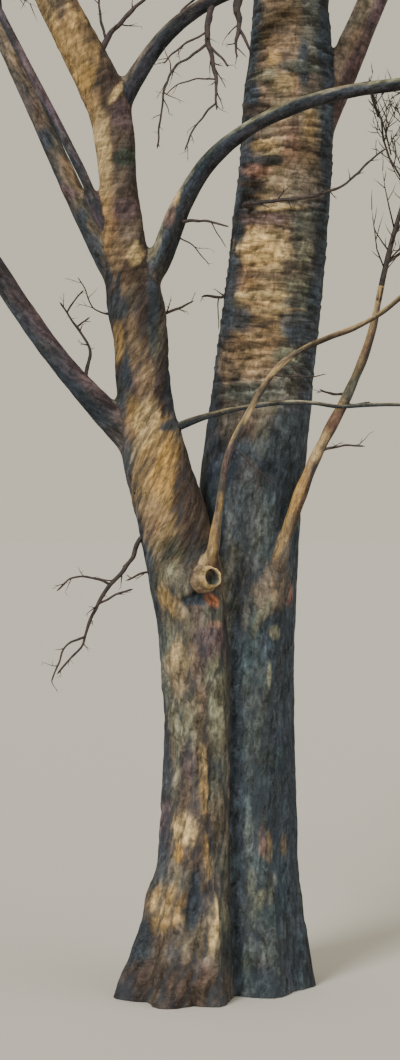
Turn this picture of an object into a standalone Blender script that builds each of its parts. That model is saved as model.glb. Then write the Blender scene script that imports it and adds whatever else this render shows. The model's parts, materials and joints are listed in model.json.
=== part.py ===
"""A bare winter tree of two stems that share one root, about 10 m high.

The trunk is one piece of wood from its flat cut at the ground to the crotch, where the left
and the right stem part. Every limb above it is one tapering piece that follows a short course
of marks: how far along, which way it heads, how steeply it climbs and how thick it is there.
Where a limb reaches the crown it ends, and a mass of twigs grows on from its tip.

Metres, +Z up. Bearings are in degrees round +Z: 0 is +X, 90 is +Y. A climb of 90 is upright,
and one over 90 leans back against its bearing. The origin is on the cut under the trunk.
"""

import math
import random
from dataclasses import dataclass

import bmesh
import bpy
import numpy as np
from mathutils import Matrix, Vector

# ---- Driving dimensions: the two feet and where the pieces part ------------------------------
LEFT_FOOT = Vector((-0.105, -0.100, 0.0))
RIGHT_FOOT = Vector((0.128, 0.120, 0.0))
BELOW_GROUND = 0.10  # how far the stems run on before the flat cut trims them
LEFT_CROTCH = 2.04  # along the left stem's axis, where the trunk ends
RIGHT_CROTCH = 2.20
LEFT_FORK = 2.90  # where the left stem splits into its boughs

# ---- Root flare -------------------------------------------------------------------------------
FLARE_HEIGHT = 0.56
FLARE_POWER = 1.35
LEFT_FLARE = 0.150  # how far the boldest buttress stands out at the ground
RIGHT_FLARE = 0.085
LEFT_BUTTRESSES = ((184, 1.00, 34), (246, 0.85, 24), (300, 0.75, 20), (95, 0.60, 30))
RIGHT_BUTTRESSES = ((352, 0.50, 30), (292, 0.75, 22), (45, 0.90, 28), (110, 1.00, 26))
FLARE_FLOOR = 0.16  # share of the flare that stands out between the buttresses
FLUTE_DEPTH = 0.009  # the long shallow folds that run up from the buttresses
FLUTE_HEIGHT = 1.9

# ---- The old pruning wound on the trunk's front -------------------------------------------------
KNOT_HEIGHT = 1.632
KNOT_BEARING = 302
KNOT_REACH = 0.215  # from the left stem's axis to the collar's lip
KNOT_RADII = (0.074, 0.050)
KNOT_HOLE = (0.024, 0.060)  # radius and depth

# ---- Clearances, sampling and facets -----------------------------------------------------------
GAP = 0.0003  # between pieces that meet end to end
SLEEVE = 0.0005  # how much thicker a limb's cutter is than the limb
TWIG_ROOM = 0.012  # the least space between a twig and any limb
MASS_ROOM = 0.015  # how much nearer its own stem a twig stays than any other
TRUNK_STEP = 0.13
LIMB_STEP = 0.20
SHOOT_STEP = 0.11
TWIG_STEP = 0.08
CROWN_STEP = 0.30
SPARSE_FROM = 4.2  # along the two stems, which bend less above it
MASS_STEP = 0.36  # about how far apart a mass's stem keeps its points
CROOK = 5.0  # degrees that a limb wanders to each side of its course
CROOK_WAVE = 0.9

# ---- The rule that the twigs grow by -----------------------------------------------------------
GOLDEN_ANGLE = 137.5
SIDE_PACE = 0.36  # between the side twigs on a mass's stem
SIDE_TWIGS = (4, 6)  # the fewest and the most on one stem
SIDE_SPREAD = 46  # degrees from the stem
SIDE_REACH = 0.48  # of the stem's length, for the lowest one
SIDE_SHORTENING = 0.50  # by the tip
SIDE_FIRST = 0.10  # share of the stem below the lowest side twig
SIDE_LAST = 0.93
FINE_TWIGS = 2  # on each side twig
FINE_SPREAD = 40
FINE_REACH = 0.55
TWIG_LIFT = 0.34  # how strongly a twig turns up to the light
TWIG_THICKNESS = 0.56  # of what it grows from
THINNEST = 0.0038
SHORTER_TRY = 0.62


@dataclass(frozen=True)
class Limb:
    """One tapering limb: what it grows from and the marks (along, bearing, climb, radius) it follows."""

    name: str
    parent: str
    leaves_at: float  # along the parent's axis
    marks: tuple
    bare: float = 0.0  # length before its mass of twigs, or 0 where it has none
    sides: int = 8
    node: str = ""  # the node that it is fused into, where it isn't one of its own
    finish: str = "bough_bark"
    crook: float = 0.0
    clears: tuple = ()  # neighbours, apart from its parent, that its root is cut to fit


LEFT_AXIS = Limb(
    "left_axis", "", 0.0,
    (
        (0.00, 0, 88, 0.150), (0.50, 0, 88, 0.138), (1.10, 0, 90, 0.126), (1.45, 0, 95, 0.134),
        (1.75, 0, 102, 0.146), (2.00, 0, 107, 0.136), (2.20, 0, 103, 0.128), (2.35, 0, 95, 0.112),
        (2.55, 0, 94, 0.108), (2.75, 0, 101, 0.116), (3.02, 0, 98, 0.082), (3.28, 0, 94, 0.076),
        (3.45, 0, 97, 0.080), (3.58, 0, 112, 0.088), (3.75, 0, 118, 0.084), (4.10, 0, 116, 0.074),
        (4.60, 350, 108, 0.064), (5.60, 345, 96, 0.050), (6.80, 20, 98, 0.034), (8.90, 30, 88, 0.007),
    ),
    bare=7.1, sides=14,
)
RIGHT_AXIS = Limb(
    "right_axis", "", 0.0,
    (
        (0.00, 0, 91, 0.224), (0.50, 0, 91, 0.211), (1.20, 0, 90, 0.207), (1.70, 0, 87, 0.209),
        (2.10, 0, 84, 0.208), (2.60, 0, 83, 0.200), (3.20, 0, 85, 0.192), (3.60, 0, 88, 0.182),
        (3.95, 0, 90, 0.156), (4.60, 150, 85, 0.140), (5.50, 150, 80, 0.100), (7.00, 120, 89, 0.066),
        (8.40, 100, 83, 0.038), (10.10, 110, 92, 0.007),
    ),
    bare=8.3, sides=14,
)

BOUGHS = (
    Limb("low_left_bough", "left_axis", 2.13,
         ((0.0, 186, 43, 0.088), (0.22, 186, 44, 0.060), (0.50, 188, 50, 0.046), (0.85, 192, 57, 0.043),
          (1.70, 205, 50, 0.031), (2.60, 195, 62, 0.018), (3.40, 188, 74, 0.006)), bare=1.75),
    Limb("outer_left_bough", "left_axis", 2.76,
         ((0.0, 174, 54, 0.072), (0.25, 174, 63, 0.048), (0.80, 172, 66, 0.038), (1.80, 150, 60, 0.031),
          (2.80, 140, 70, 0.017), (3.70, 135, 80, 0.006)), bare=1.9, clears=("centre_stem",)),
    Limb("inner_left_bough", "left_axis", 2.93,
         ((0.0, 192, 58, 0.036), (0.30, 190, 64, 0.022), (0.80, 184, 62, 0.019), (1.60, 200, 66, 0.013),
          (2.50, 212, 74, 0.005)), bare=1.2, clears=("left_stem", "outer_left_bough")),
    Limb("arching_bough", "left_axis", 3.49,
         ((0.0, 0, 62, 0.054), (0.25, 355, 58, 0.036), (0.48, 352, 38, 0.031), (0.75, 350, 17, 0.028),
          (1.40, 345, 24, 0.022), (2.10, 338, 46, 0.014), (2.90, 332, 68, 0.005)), bare=1.55),
    Limb("crossing_bough", "left_axis", 2.78,
         ((0.0, 346, 48, 0.066), (0.25, 347, 69, 0.046), (0.45, 348, 63, 0.040), (0.60, 348, 47, 0.036),
          (0.78, 348, 33, 0.031), (1.00, 350, 18, 0.030), (1.35, 352, 6, 0.027), (2.30, 345, 12, 0.019),
          (3.20, 338, 34, 0.012),
          (4.10, 334, 60, 0.005)), bare=2.2, clears=("centre_stem",)),
    Limb("right_high_bough", "right_axis", 3.27,
         ((0.0, 4, 58, 0.115), (0.35, 8, 64, 0.072), (0.75, 10, 67, 0.060), (1.80, 15, 58, 0.042),
          (3.00, 8, 67, 0.023), (4.20, 2, 77, 0.006)), bare=2.2),
    Limb("right_leader", "right_axis", 4.35,
         ((0.0, 322, 54, 0.120), (0.40, 322, 64, 0.086), (1.20, 324, 75, 0.070), (2.40, 336, 74, 0.048),
          (3.60, 312, 82, 0.027), (5.00, 300, 86, 0.006)), bare=3.2),
    Limb("knot_shoot", "left_axis", 1.62,
         ((0.0, 302, 12, 0.038), (0.16, 304, 46, 0.033), (0.27, 334, 80, 0.023), (0.38, 345, 81, 0.016),
          (0.55, 350, 82, 0.014), (0.66, 350, 66, 0.013), (0.76, 350, 59, 0.013), (0.90, 350, 61, 0.0125),
          (1.02, 355, 44, 0.012), (1.12, 0, 26, 0.0115), (1.32, 2, 20, 0.011), (1.48, 4, 38, 0.010),
          (2.20, 0, 52, 0.006), (2.80, 0, 66, 0.004)), bare=1.75, sides=6, finish="shoot_bark"),
    Limb("right_side_shoot", "right_axis", 1.50,
         ((0.0, 307, 36, 0.056), (0.26, 309, 50, 0.040), (0.38, 332, 73, 0.028), (0.62, 350, 69, 0.025),
          (0.88, 355, 61, 0.022), (1.15, 0, 68, 0.019), (1.40, 2, 80, 0.013), (1.90, 12, 70, 0.008),
          (2.50, 15, 64, 0.004)), bare=1.5, sides=6, finish="shoot_bark"),
    Limb("cross_twig", "left_axis", 2.22,
         ((0.0, 342, 24, 0.026), (0.16, 345, 20, 0.015), (0.32, 350, 12, 0.011), (0.56, 354, 4, 0.009),
          (0.70, 354, -10, 0.008), (0.84, 356, 4, 0.0075), (1.02, 0, -2, 0.007), (1.60, 5, 18, 0.0055),
          (2.00, 8, 32, 0.004)),
         bare=1.25, sides=6),
)

# Short twigs on the bare part of the limbs. Those that share a node are fused.
TWIGS = (
    Limb("drooping_spray", "left_axis", 1.90,
         ((0.0, 190, -34, 0.016), (0.13, 190, -36, 0.011), (0.17, 190, -66, 0.010), (0.23, 190, -68, 0.009),
          (0.29, 192, -50, 0.0085), (0.34, 194, -31, 0.0085), (0.39, 196, -79, 0.009),
          (0.44, 194, -58, 0.008), (0.50, 192, -62, 0.007), (0.57, 190, -80, 0.006),
          (0.63, 189, -63, 0.005), (0.70, 188, -38, 0.0045), (0.79, 188, -58, 0.0035)),
         sides=4, node="drooping_spray"),
    Limb("drooping_arc", "drooping_spray", 0.37,
         ((0.0, 200, 30, 0.006), (0.05, 202, 18, 0.005), (0.11, 203, 4, 0.0045), (0.16, 203, -10, 0.004),
          (0.21, 202, -40, 0.0038), (0.25, 200, -54, 0.0035)), sides=3, node="drooping_spray"),
    Limb("drooping_fork", "drooping_spray", 0.60,
         ((0.0, 196, -20, 0.005), (0.06, 194, -26, 0.0045), (0.10, 192, -64, 0.004),
          (0.24, 190, -72, 0.0035)), sides=3, node="drooping_spray"),
    Limb("drooping_heel", "drooping_spray", 0.46,
         ((0.0, 14, 24, 0.005), (0.05, 12, 30, 0.005), (0.10, 10, 18, 0.0045), (0.15, 10, 12, 0.0045)),
         sides=3, node="drooping_spray"),
    Limb("upright_twig", "low_left_bough", 0.40,
         ((0.0, 40, 78, 0.010), (0.07, 30, 84, 0.008), (0.115, 20, 78, 0.0065), (0.16, 170, 80, 0.006),
          (0.20, 174, 60, 0.0058), (0.245, 174, 67, 0.0055), (0.285, 172, 49, 0.005),
          (0.35, 172, 56, 0.004), (0.39, 172, 80, 0.0035)), sides=4, node="upright_twig"),
    Limb("upright_fork", "upright_twig", 0.265,
         ((0.0, 10, 40, 0.0045), (0.07, 15, 36, 0.0035)), sides=3, node="upright_twig"),
    Limb("upright_tip", "upright_twig", 0.335,
         ((0.0, 20, 66, 0.004), (0.06, 18, 50, 0.0037), (0.12, 16, 50, 0.0032)), sides=3,
         node="upright_twig"),
    Limb("elbow_twig", "crossing_bough", 0.34,
         ((0.0, 322, 4, 0.010), (0.09, 330, -4, 0.006), (0.25, 338, -20, 0.0035)),
         sides=4, node="elbow_twig"),
    Limb("front_twig", "right_axis", 3.12,
         ((0.0, 226, 6, 0.012), (0.20, 232, 4, 0.010), (0.24, 318, 3, 0.009), (0.31, 340, 3, 0.008),
          (0.44, 354, 5, 0.007), (0.60, 4, 20, 0.006), (0.72, 6, 48, 0.005), (0.88, 6, 34, 0.0035)),
         sides=4, node="front_twig"),
    Limb("forked_twig", "left_axis", 3.72,
         ((0.0, 0, 62, 0.026), (0.10, 356, 56, 0.012), (0.22, 350, 46, 0.010), (0.42, 345, 34, 0.0045)),
         sides=4, node="forked_twig"),
    Limb("forked_twig_arm", "forked_twig", 0.12,
         ((0.0, 170, 70, 0.006), (0.12, 150, 84, 0.005), (0.26, 60, 76, 0.0035)),
         sides=3, node="forked_twig"),
    Limb("hanging_spray", "arching_bough", 0.63,
         ((0.0, 270, -60, 0.015), (0.06, 200, -80, 0.0135), (0.12, 230, -82, 0.0125), (0.20, 330, -74, 0.010),
          (0.32, 350, -80, 0.008), (0.40, 190, -64, 0.005), (0.48, 350, -56, 0.0038)),
         sides=4, node="hanging_spray"),
    Limb("hanging_tail", "hanging_spray", 0.44,
         ((0.0, 210, -40, 0.0045), (0.10, 200, -52, 0.004), (0.24, 190, -76, 0.0035)), sides=3,
         node="hanging_spray"),
    Limb("hanging_fork", "hanging_spray", 0.19,
         ((0.0, 350, -40, 0.006), (0.12, 345, -58, 0.0038)), sides=3, node="hanging_spray"),
    Limb("hanging_arm", "hanging_spray", 0.18,
         ((0.0, 186, -38, 0.006), (0.17, 188, -36, 0.005), (0.23, 192, -80, 0.0045),
          (0.50, 200, -84, 0.0035)), sides=3, node="hanging_spray"),
    Limb("hanging_lace", "hanging_spray", 0.13,
         ((0.0, 182, -30, 0.005), (0.16, 176, -34, 0.004), (0.22, 180, -60, 0.0035)), sides=3,
         node="hanging_spray"),
    Limb("hanging_twig", "arching_bough", 0.75,
         ((0.0, 276, -58, 0.020), (0.09, 200, -72, 0.016), (0.14, 330, -74, 0.012), (0.24, 200, -64, 0.006),
          (0.33, 340, -50, 0.0038)), sides=4, node="hanging_twig"),
    Limb("hanging_twig_fork", "hanging_twig", 0.18,
         ((0.0, 350, -60, 0.008), (0.11, 350, -64, 0.0045)), sides=3, node="hanging_twig"),
)


def crown_boughs(stem, names, first_at, last_at, first_bearing, lengths, climbs, radii, bare_share=0.42):
    """Boughs up a stem in a spiral, the lowest the longest and the most level."""
    boughs = []
    for index, name in enumerate(names):
        share = index / max(1, len(names) - 1)
        length = lengths[0] + (lengths[1] - lengths[0]) * share
        climb = climbs[0] + (climbs[1] - climbs[0]) * share
        radius = radii[0] + (radii[1] - radii[0]) * share
        bearing = first_bearing + index * GOLDEN_ANGLE
        marks = (
            (0.0, bearing, climb + 14, radius),
            (0.25 * length, bearing, climb, 0.64 * radius),
            (0.60 * length, bearing + 14, climb + 4, 0.40 * radius),
            (length, bearing + 4, climb + 26, 0.005),
        )
        leaves_at = first_at + (last_at - first_at) * share
        boughs.append(Limb(name, stem, leaves_at, marks, bare=bare_share * length, sides=7, crook=CROOK))
    return tuple(boughs)


def numbered(name, count):
    """The names of several boughs of one kind."""
    return tuple(f"{name}_{number}" for number in range(1, count + 1))


# Boughs of the crown, and above them the sprays that are twigs from their root on.
CROWN = (
    *crown_boughs("right_axis", numbered("right_bough", 4), 4.75, 6.75, 100, (3.30, 2.80), (32, 46),
                  (0.070, 0.046)),
    *crown_boughs("left_axis", numbered("centre_bough", 3), 4.55, 5.95, 262, (2.90, 2.50), (34, 46),
                  (0.042, 0.032)),
)
SPRAYS = (
    *crown_boughs("right_axis", numbered("right_spray", 3), 7.30, 8.10, 30, (2.30, 1.90), (42, 54),
                  (0.028, 0.022), 0.0),
    *crown_boughs("right_leader", numbered("leader_spray", 2), 1.35, 2.45, 20, (2.80, 2.40), (30, 42),
                  (0.034, 0.026), 0.0),
    *crown_boughs("left_axis", numbered("centre_spray", 2), 6.35, 6.80, 40, (2.00, 1.80), (44, 54),
                  (0.024, 0.020), 0.0),
    *crown_boughs("low_left_bough", ("low_left_spray",), 1.05, 1.05, 250, (2.30, 2.30), (30, 30),
                  (0.024, 0.024), 0.0),
    *crown_boughs("outer_left_bough", ("outer_left_spray",), 1.25, 1.25, 92, (2.50, 2.50), (34, 34),
                  (0.024, 0.024), 0.0),
    *crown_boughs("right_high_bough", numbered("right_high_spray", 2), 1.25, 1.85, 312, (2.80, 2.50),
                  (34, 40), (0.030, 0.024), 0.0),
    *crown_boughs("crossing_bough", ("crossing_spray",), 1.85, 1.85, 286, (1.90, 1.90), (40, 40),
                  (0.014, 0.014), 0.0),
)


# ---- Courses: from marks to points -----------------------------------------------------------
def mark_at(marks, along):
    """(bearing, climb, radius) at a distance along a course, between its marks."""
    for before, after in zip(marks, marks[1:]):
        if along <= after[0]:
            break
    share = (along - before[0]) / (after[0] - before[0])
    turn = (after[1] - before[1] + 180) % 360 - 180
    return (
        before[1] + turn * share,
        before[2] + (after[2] - before[2]) * share,
        before[3] + (after[3] - before[3]) * share,
    )


def heading(bearing, climb):
    """The unit vector of a bearing and a climb, in degrees."""
    level = math.cos(math.radians(climb))
    return Vector((
        level * math.cos(math.radians(bearing)),
        level * math.sin(math.radians(bearing)),
        math.sin(math.radians(climb)),
    ))


class Axis:
    """A limb's axis: evenly spaced points, the distance along of each, and the radius there."""

    def __init__(self, limb, start, step, sparse_from=math.inf):
        """Follows the limb's marks from start; a limb that wanders takes its phases from its name."""
        self.sparse_from = sparse_from
        length = limb.marks[-1][0]
        count = max(3, round(length / step))
        pace = length / count
        phases = random.Random(limb.name)
        phase, other_phase = (phases.uniform(0, math.tau) for _ in range(2))
        self.points, self.along, self.radii = [start], [0.0], [limb.marks[0][3]]
        for index in range(count):
            middle = (index + 0.5) * pace
            bearing, climb, _ = mark_at(limb.marks, middle)
            wave = math.tau * middle / CROOK_WAVE
            bearing += 1.5 * limb.crook * math.sin(wave + phase)
            climb += limb.crook * math.sin(1.3 * wave + other_phase)
            self.points.append(self.points[-1] + heading(bearing, climb) * pace)
            self.along.append((index + 1) * pace)
            self.radii.append(mark_at(limb.marks, (index + 1) * pace)[2])

    def segment(self, along):
        """The index of the point before a distance along, and the share of the way to the next."""
        pace = self.along[1]
        index = min(int(along / pace), len(self.along) - 2)
        return index, along / pace - index

    def at(self, along):
        """(point, direction, radius) at a distance along."""
        index, share = self.segment(along)
        first, second = self.points[index], self.points[index + 1]
        radius = self.radii[index] * (1 - share) + self.radii[index + 1] * share
        return first.lerp(second, share), (second - first).normalized(), radius

    def middle_near(self, along):
        """The distance along of the middle of the segment that holds along, where a clean cut fits."""
        return (self.segment(along)[0] + 0.5) * self.along[1]

    def piece(self, start, end, trim_start=0.0, trim_end=0.0):
        """The points and radii from start to end, each end moved inwards by its trim.

        The segments at both ends are whole, so that pieces meet squarely. Between them, and above
        sparse_from, only every third point is kept.
        """
        low, high = start + trim_start, end - trim_end
        inner = [i for i, along in enumerate(self.along) if start + 1e-6 < along < end - 1e-6]
        dense = [i for i in inner if self.along[i] < self.sparse_from or i % 3 == 0]
        inner = sorted({inner[0], *dense, inner[-1]})
        ends = [self.at(low), self.at(high)]
        points = [ends[0][0], *(self.points[i] for i in inner), ends[1][0]]
        radii = [ends[0][2], *(self.radii[i] for i in inner), ends[1][2]]
        return points, radii


# ---- Blender helpers ---------------------------------------------------------------------------
def clear_scene():
    """Removes every object that the scene starts with."""
    for obj in list(bpy.data.objects):
        bpy.data.objects.remove(obj, do_unlink=True)


def new_collection(name):
    """A new collection in the scene."""
    collection = bpy.data.collections.new(name)
    bpy.context.scene.collection.children.link(collection)
    return collection


def bark(name, colour, roughness):
    """A Principled material of one bark colour."""
    material = bpy.data.materials.new(name)
    material.use_nodes = True
    shader = material.node_tree.nodes["Principled BSDF"]
    shader.inputs["Base Color"].default_value = (*colour, 1)
    shader.inputs["Roughness"].default_value = roughness
    shader.inputs["Metallic"].default_value = 0.0
    return material


def section(sides, helpers):
    """A unit polygon that bevels a curve into a limb of that many sides; made once for each count."""
    name = f"section_{sides}"
    if name in bpy.data.objects:
        return bpy.data.objects[name]
    curve = bpy.data.curves.new(name, "CURVE")
    curve.dimensions = "2D"
    spline = curve.splines.new("POLY")
    spline.points.add(sides - 1)
    for index, point in enumerate(spline.points):
        angle = math.tau * index / sides
        point.co = (math.cos(angle), math.sin(angle), 0, 1)
    spline.use_cyclic_u = True
    obj = bpy.data.objects.new(name, curve)
    obj.hide_render = True
    obj.display_type = "WIRE"
    helpers.objects.link(obj)
    return obj


def tube(name, points, radii, sides, collection, helpers):
    """A closed tapering tube through the points, swept as a curve and made a mesh."""
    curve = bpy.data.curves.new(name, "CURVE")
    curve.dimensions = "3D"
    curve.bevel_mode = "OBJECT"
    curve.bevel_object = section(sides, helpers)
    curve.use_fill_caps = True
    spline = curve.splines.new("POLY")
    spline.points.add(len(points) - 1)
    for knot, place, radius in zip(spline.points, points, radii):
        knot.co = (*place, 1)
        knot.radius = radius
    swept = bpy.data.objects.new(name + "_curve", curve)
    collection.objects.link(swept)
    bpy.context.view_layer.update()
    graph = bpy.context.evaluated_depsgraph_get()
    mesh = bpy.data.meshes.new_from_object(swept.evaluated_get(graph))
    bpy.data.objects.remove(swept)
    shape = bmesh.new()
    shape.from_mesh(mesh)
    bmesh.ops.remove_doubles(shape, verts=shape.verts, dist=1e-5)
    bmesh.ops.recalc_face_normals(shape, faces=shape.faces)
    shape.to_mesh(mesh)
    shape.free()
    mesh.name = name
    obj = bpy.data.objects.new(name, mesh)
    collection.objects.link(obj)
    return obj


def settle(obj):
    """Applies an object's modifiers."""
    bpy.context.view_layer.update()
    graph = bpy.context.evaluated_depsgraph_get()
    mesh = bpy.data.meshes.new_from_object(obj.evaluated_get(graph))
    obj.modifiers.clear()
    obj.data = mesh


def join(obj, others):
    """Unites an object with a collection of others, which then go."""
    union = obj.modifiers.new("union", "BOOLEAN")
    union.operation = "UNION"
    union.operand_type = "COLLECTION"
    union.collection = others
    union.solver = "EXACT"
    settle(obj)
    for other in list(others.objects):
        bpy.data.objects.remove(other, do_unlink=True)
    bpy.data.collections.remove(others)


def fit_round(obj, cutters):
    """Cuts an object back from the sleeves of what it meets."""
    for cutter in cutters:
        cut = obj.modifiers.new("fit_" + cutter.name, "BOOLEAN")
        cut.operation = "DIFFERENCE"
        cut.object = cutter
        cut.solver = "EXACT"


def as_cutter(obj):
    """Marks an object as a cutter, which is no part of the tree."""
    obj.hide_render = True
    obj.display_type = "WIRE"
    return obj


# ---- Trunk ---------------------------------------------------------------------------------------
def flare_at(angle, height, flare, buttresses):
    """How far the root flare stands out at an angle and a height, with the flutes above it."""
    share = max(0.0, 1 - max(0.0, height) / FLARE_HEIGHT) ** FLARE_POWER
    ridge = 0.0
    for bearing, strength, spread in buttresses:
        off = (math.degrees(angle) - bearing + 180) % 360 - 180
        ridge = max(ridge, strength * math.exp(-((off / spread) ** 2)))
    fade = max(0.0, 1 - max(0.0, height) / FLUTE_HEIGHT)
    flute = FLUTE_DEPTH * fade * math.cos(5 * angle + buttresses[0][0])
    return flare * share * (FLARE_FLOOR + (1 - FLARE_FLOOR) * ridge) + flute


def foot(name, axis, end, flare, buttresses, extra, collection, helpers):
    """One stem's part of the trunk, from below the ground to its crotch, swollen into its flare."""
    points, radii = axis.piece(0.0, end, trim_end=-extra)
    points = [points[0] - Vector((0, 0, BELOW_GROUND)), *points]
    radii = [radii[0], *radii]
    obj = tube(name, points, [radius + extra for radius in radii], 24, collection, helpers)
    for vertex in obj.data.vertices:
        index, share = axis.segment(min(max(vertex.co.z, 0.0), end))
        centre = axis.points[index].lerp(axis.points[index + 1], share)
        out = Vector((vertex.co.x - centre.x, vertex.co.y - centre.y, 0))
        if out.length > 1e-6 and vertex.co.z < FLUTE_HEIGHT:
            swell = flare_at(math.atan2(out.y, out.x), vertex.co.z, flare, buttresses)
            vertex.co += out.normalized() * swell
    return obj


def knot_cone(name, axis, radii, near, far, collection):
    """A cone on the old wound's own axis, between two distances from the left stem's axis."""
    centre, _, _ = axis.at(KNOT_HEIGHT)
    way = heading(KNOT_BEARING, 8)
    mesh = bpy.data.meshes.new(name)
    shape = bmesh.new()
    turn = way.to_track_quat("Z", "Y").to_matrix().to_4x4()
    place = Matrix.Translation(centre + way * (near + far) / 2) @ turn
    bmesh.ops.create_cone(shape, cap_ends=True, segments=12, radius1=radii[0], radius2=radii[1],
                          depth=far - near, matrix=place)
    shape.to_mesh(mesh)
    shape.free()
    obj = bpy.data.objects.new(name, mesh)
    collection.objects.link(obj)
    return obj


def cut_at_ground(obj):
    """Trims a mesh flat at the ground and closes it there."""
    shape = bmesh.new()
    shape.from_mesh(obj.data)
    everything = [*shape.verts, *shape.edges, *shape.faces]
    cut = bmesh.ops.bisect_plane(shape, geom=everything, plane_co=(0, 0, 0), plane_no=(0, 0, -1),
                                 clear_outer=True)
    rim = [edge for edge in cut["geom_cut"] if isinstance(edge, bmesh.types.BMEdge)]
    for edge in rim:
        for vertex in edge.verts:
            vertex.co.z = 0.0
    bmesh.ops.contextual_create(shape, geom=rim)
    bmesh.ops.recalc_face_normals(shape, faces=shape.faces)
    shape.to_mesh(obj.data)
    shape.free()


def make_trunk(name, left, right, extra, with_hole, collection, helpers):
    """Both feet and the knot's collar as one solid, extra thicker all round for a cutter."""
    trunk = foot(name, left, left.middle_near(LEFT_CROTCH), LEFT_FLARE, LEFT_BUTTRESSES, extra,
                 collection, helpers)
    others = new_collection(name + "_others")
    foot(name + "_right", right, right.middle_near(RIGHT_CROTCH), RIGHT_FLARE, RIGHT_BUTTRESSES, extra,
         others, helpers)
    collar = [radius + extra for radius in KNOT_RADII]
    knot_cone(name + "_collar", left, collar, 0.04, KNOT_REACH + extra, others)
    join(trunk, others)
    cut_at_ground(trunk)
    if with_hole:
        radius, depth = KNOT_HOLE
        hole = knot_cone(name + "_hole", left, (0.6 * radius, radius), KNOT_REACH - depth,
                         KNOT_REACH + 0.02, helpers)
        fit_round(trunk, [as_cutter(hole)])
        settle(trunk)
    return trunk


# ---- Twigs ---------------------------------------------------------------------------------------
class Room:
    """Where the limbs and the stems of the masses run, to tell whether a twig has space."""

    def __init__(self):
        """Starts with nothing in the way."""
        self.limbs, self.stems = [], []

    @staticmethod
    def chain(points, radii, owner):
        """Segment starts, segment vectors and the larger radius of each, with their owner."""
        places = np.array([tuple(point) for point in points])
        thick = np.maximum(radii[:-1], radii[1:])
        return places[:-1], places[1:] - places[:-1], thick, owner

    def add(self, points, radii, owner, is_stem):
        """Notes a limb, or the stem of a mass."""
        (self.stems if is_stem else self.limbs).append(self.chain(points, radii, owner))

    @staticmethod
    def away(samples, chain):
        """The distance of each sample from a chain's surface."""
        starts, ways, thick, _ = chain
        off = samples[:, None, :] - starts[None]
        share = np.clip((off * ways).sum(2) / (ways * ways).sum(1), 0, 1)
        gap = np.linalg.norm(off - share[..., None] * ways, axis=2) - thick
        return gap.min(1)

    def fits(self, points, owner, near):
        """True if a twig of a mass stays in its own space, clear of every limb but near's."""
        places = np.array([tuple(point) for point in points])
        samples = np.concatenate([
            places[:-1] + (places[1:] - places[:-1]) * share for share in (0.25, 0.5, 0.75, 1.0)
        ])
        own = min(self.away(samples, chain) for chain in self.stems if chain[3] == owner)
        for chain in self.limbs:
            outer = samples if chain[3] != near else samples[len(places) - 1:]
            if (self.away(outer, chain) < TWIG_ROOM).any():
                return False
        return all(
            (self.away(samples, chain) > own + MASS_ROOM).all()
            for chain in self.stems if chain[3] != owner
        )


def branch_heading(parent_way, around, spread):
    """The direction that leaves parent_way by spread degrees, turned around it."""
    side = parent_way.orthogonal().normalized()
    side.rotate(Matrix.Rotation(math.radians(around), 3, parent_way))
    return (parent_way * math.cos(math.radians(spread)) + side * math.sin(math.radians(spread))).normalized()


def twig_points(start, way, length, segments, lift):
    """A twig's points: it leaves along way and turns up to the light."""
    points = [start]
    for _ in range(segments):
        way = (way + Vector((0, 0, lift / segments))).normalized()
        points.append(points[-1] + way * length / segments)
    return points


def point_on(points, radii, share):
    """(point, direction, radius) at a share of the length of a row of points."""
    lengths = [(after - before).length for before, after in zip(points, points[1:])]
    left = share * sum(lengths)
    index = 0
    while index < len(lengths) - 1 and left > lengths[index]:
        left -= lengths[index]
        index += 1
    part = left / lengths[index]
    way = (points[index + 1] - points[index]).normalized()
    radius = radii[index] * (1 - part) + radii[index + 1] * part
    return points[index].lerp(points[index + 1], part), way, radius


def thinned(points, radii):
    """A mass's stem with fewer points: its first segment stays, so that it meets its bough squarely."""
    stride = max(1, round(MASS_STEP / (points[2] - points[1]).length)) if len(points) > 3 else 1
    kept = [0, 1, *range(1 + stride, len(points) - 1, stride), len(points) - 1]
    return [points[i] for i in kept], [radii[i] for i in kept]


def grow_twig(room, owner, seed, stem, share, around, spread, length, segments):
    """One twig off a stem, or None where neither it nor a shorter one has room."""
    chance = random.Random(seed)
    start, way, radius = point_on(*stem, share)
    way = branch_heading(way, around + chance.uniform(-24, 24), spread + chance.uniform(-9, 9))
    length *= chance.uniform(0.82, 1.18)
    root = max(THINNEST, TWIG_THICKNESS * radius)
    for reach in (length, length * SHORTER_TRY):
        points = twig_points(start, way, reach, segments, TWIG_LIFT)
        if points[-1].z > 0.3 and room.fits(points, owner, near=owner):
            radii = [root + (THINNEST - root) * k / segments for k in range(segments + 1)]
            return points, radii
    return None


def grow_mass(name, points, radii, room):
    """The twigs of one mass: side twigs in a spiral up its stem, each with finer ones."""
    stem = (points, radii)
    length = sum((b - a).length for a, b in zip(points, points[1:]))
    twigs = []
    count = min(SIDE_TWIGS[1], max(SIDE_TWIGS[0], round(length / SIDE_PACE)))
    for index in range(count):
        share = SIDE_FIRST + (SIDE_LAST - SIDE_FIRST) * index / (count - 1)
        reach = SIDE_REACH * length * (1 - SIDE_SHORTENING * share)
        side = grow_twig(room, name, f"{name}.{index}", stem, share, index * GOLDEN_ANGLE,
                         SIDE_SPREAD, reach, 2)
        if side is None:
            continue
        twigs.append(side)
        for finer in range(FINE_TWIGS):
            fine_share = 0.36 + 0.34 * finer
            fine_reach = FINE_REACH * reach * (1 - 0.3 * finer)
            fine = grow_twig(room, name, f"{name}.{index}.{finer}", side, fine_share,
                             180 * finer + 40 * index, FINE_SPREAD, fine_reach, 1)
            if fine is not None:
                twigs.append(fine)
    return twigs


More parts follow.
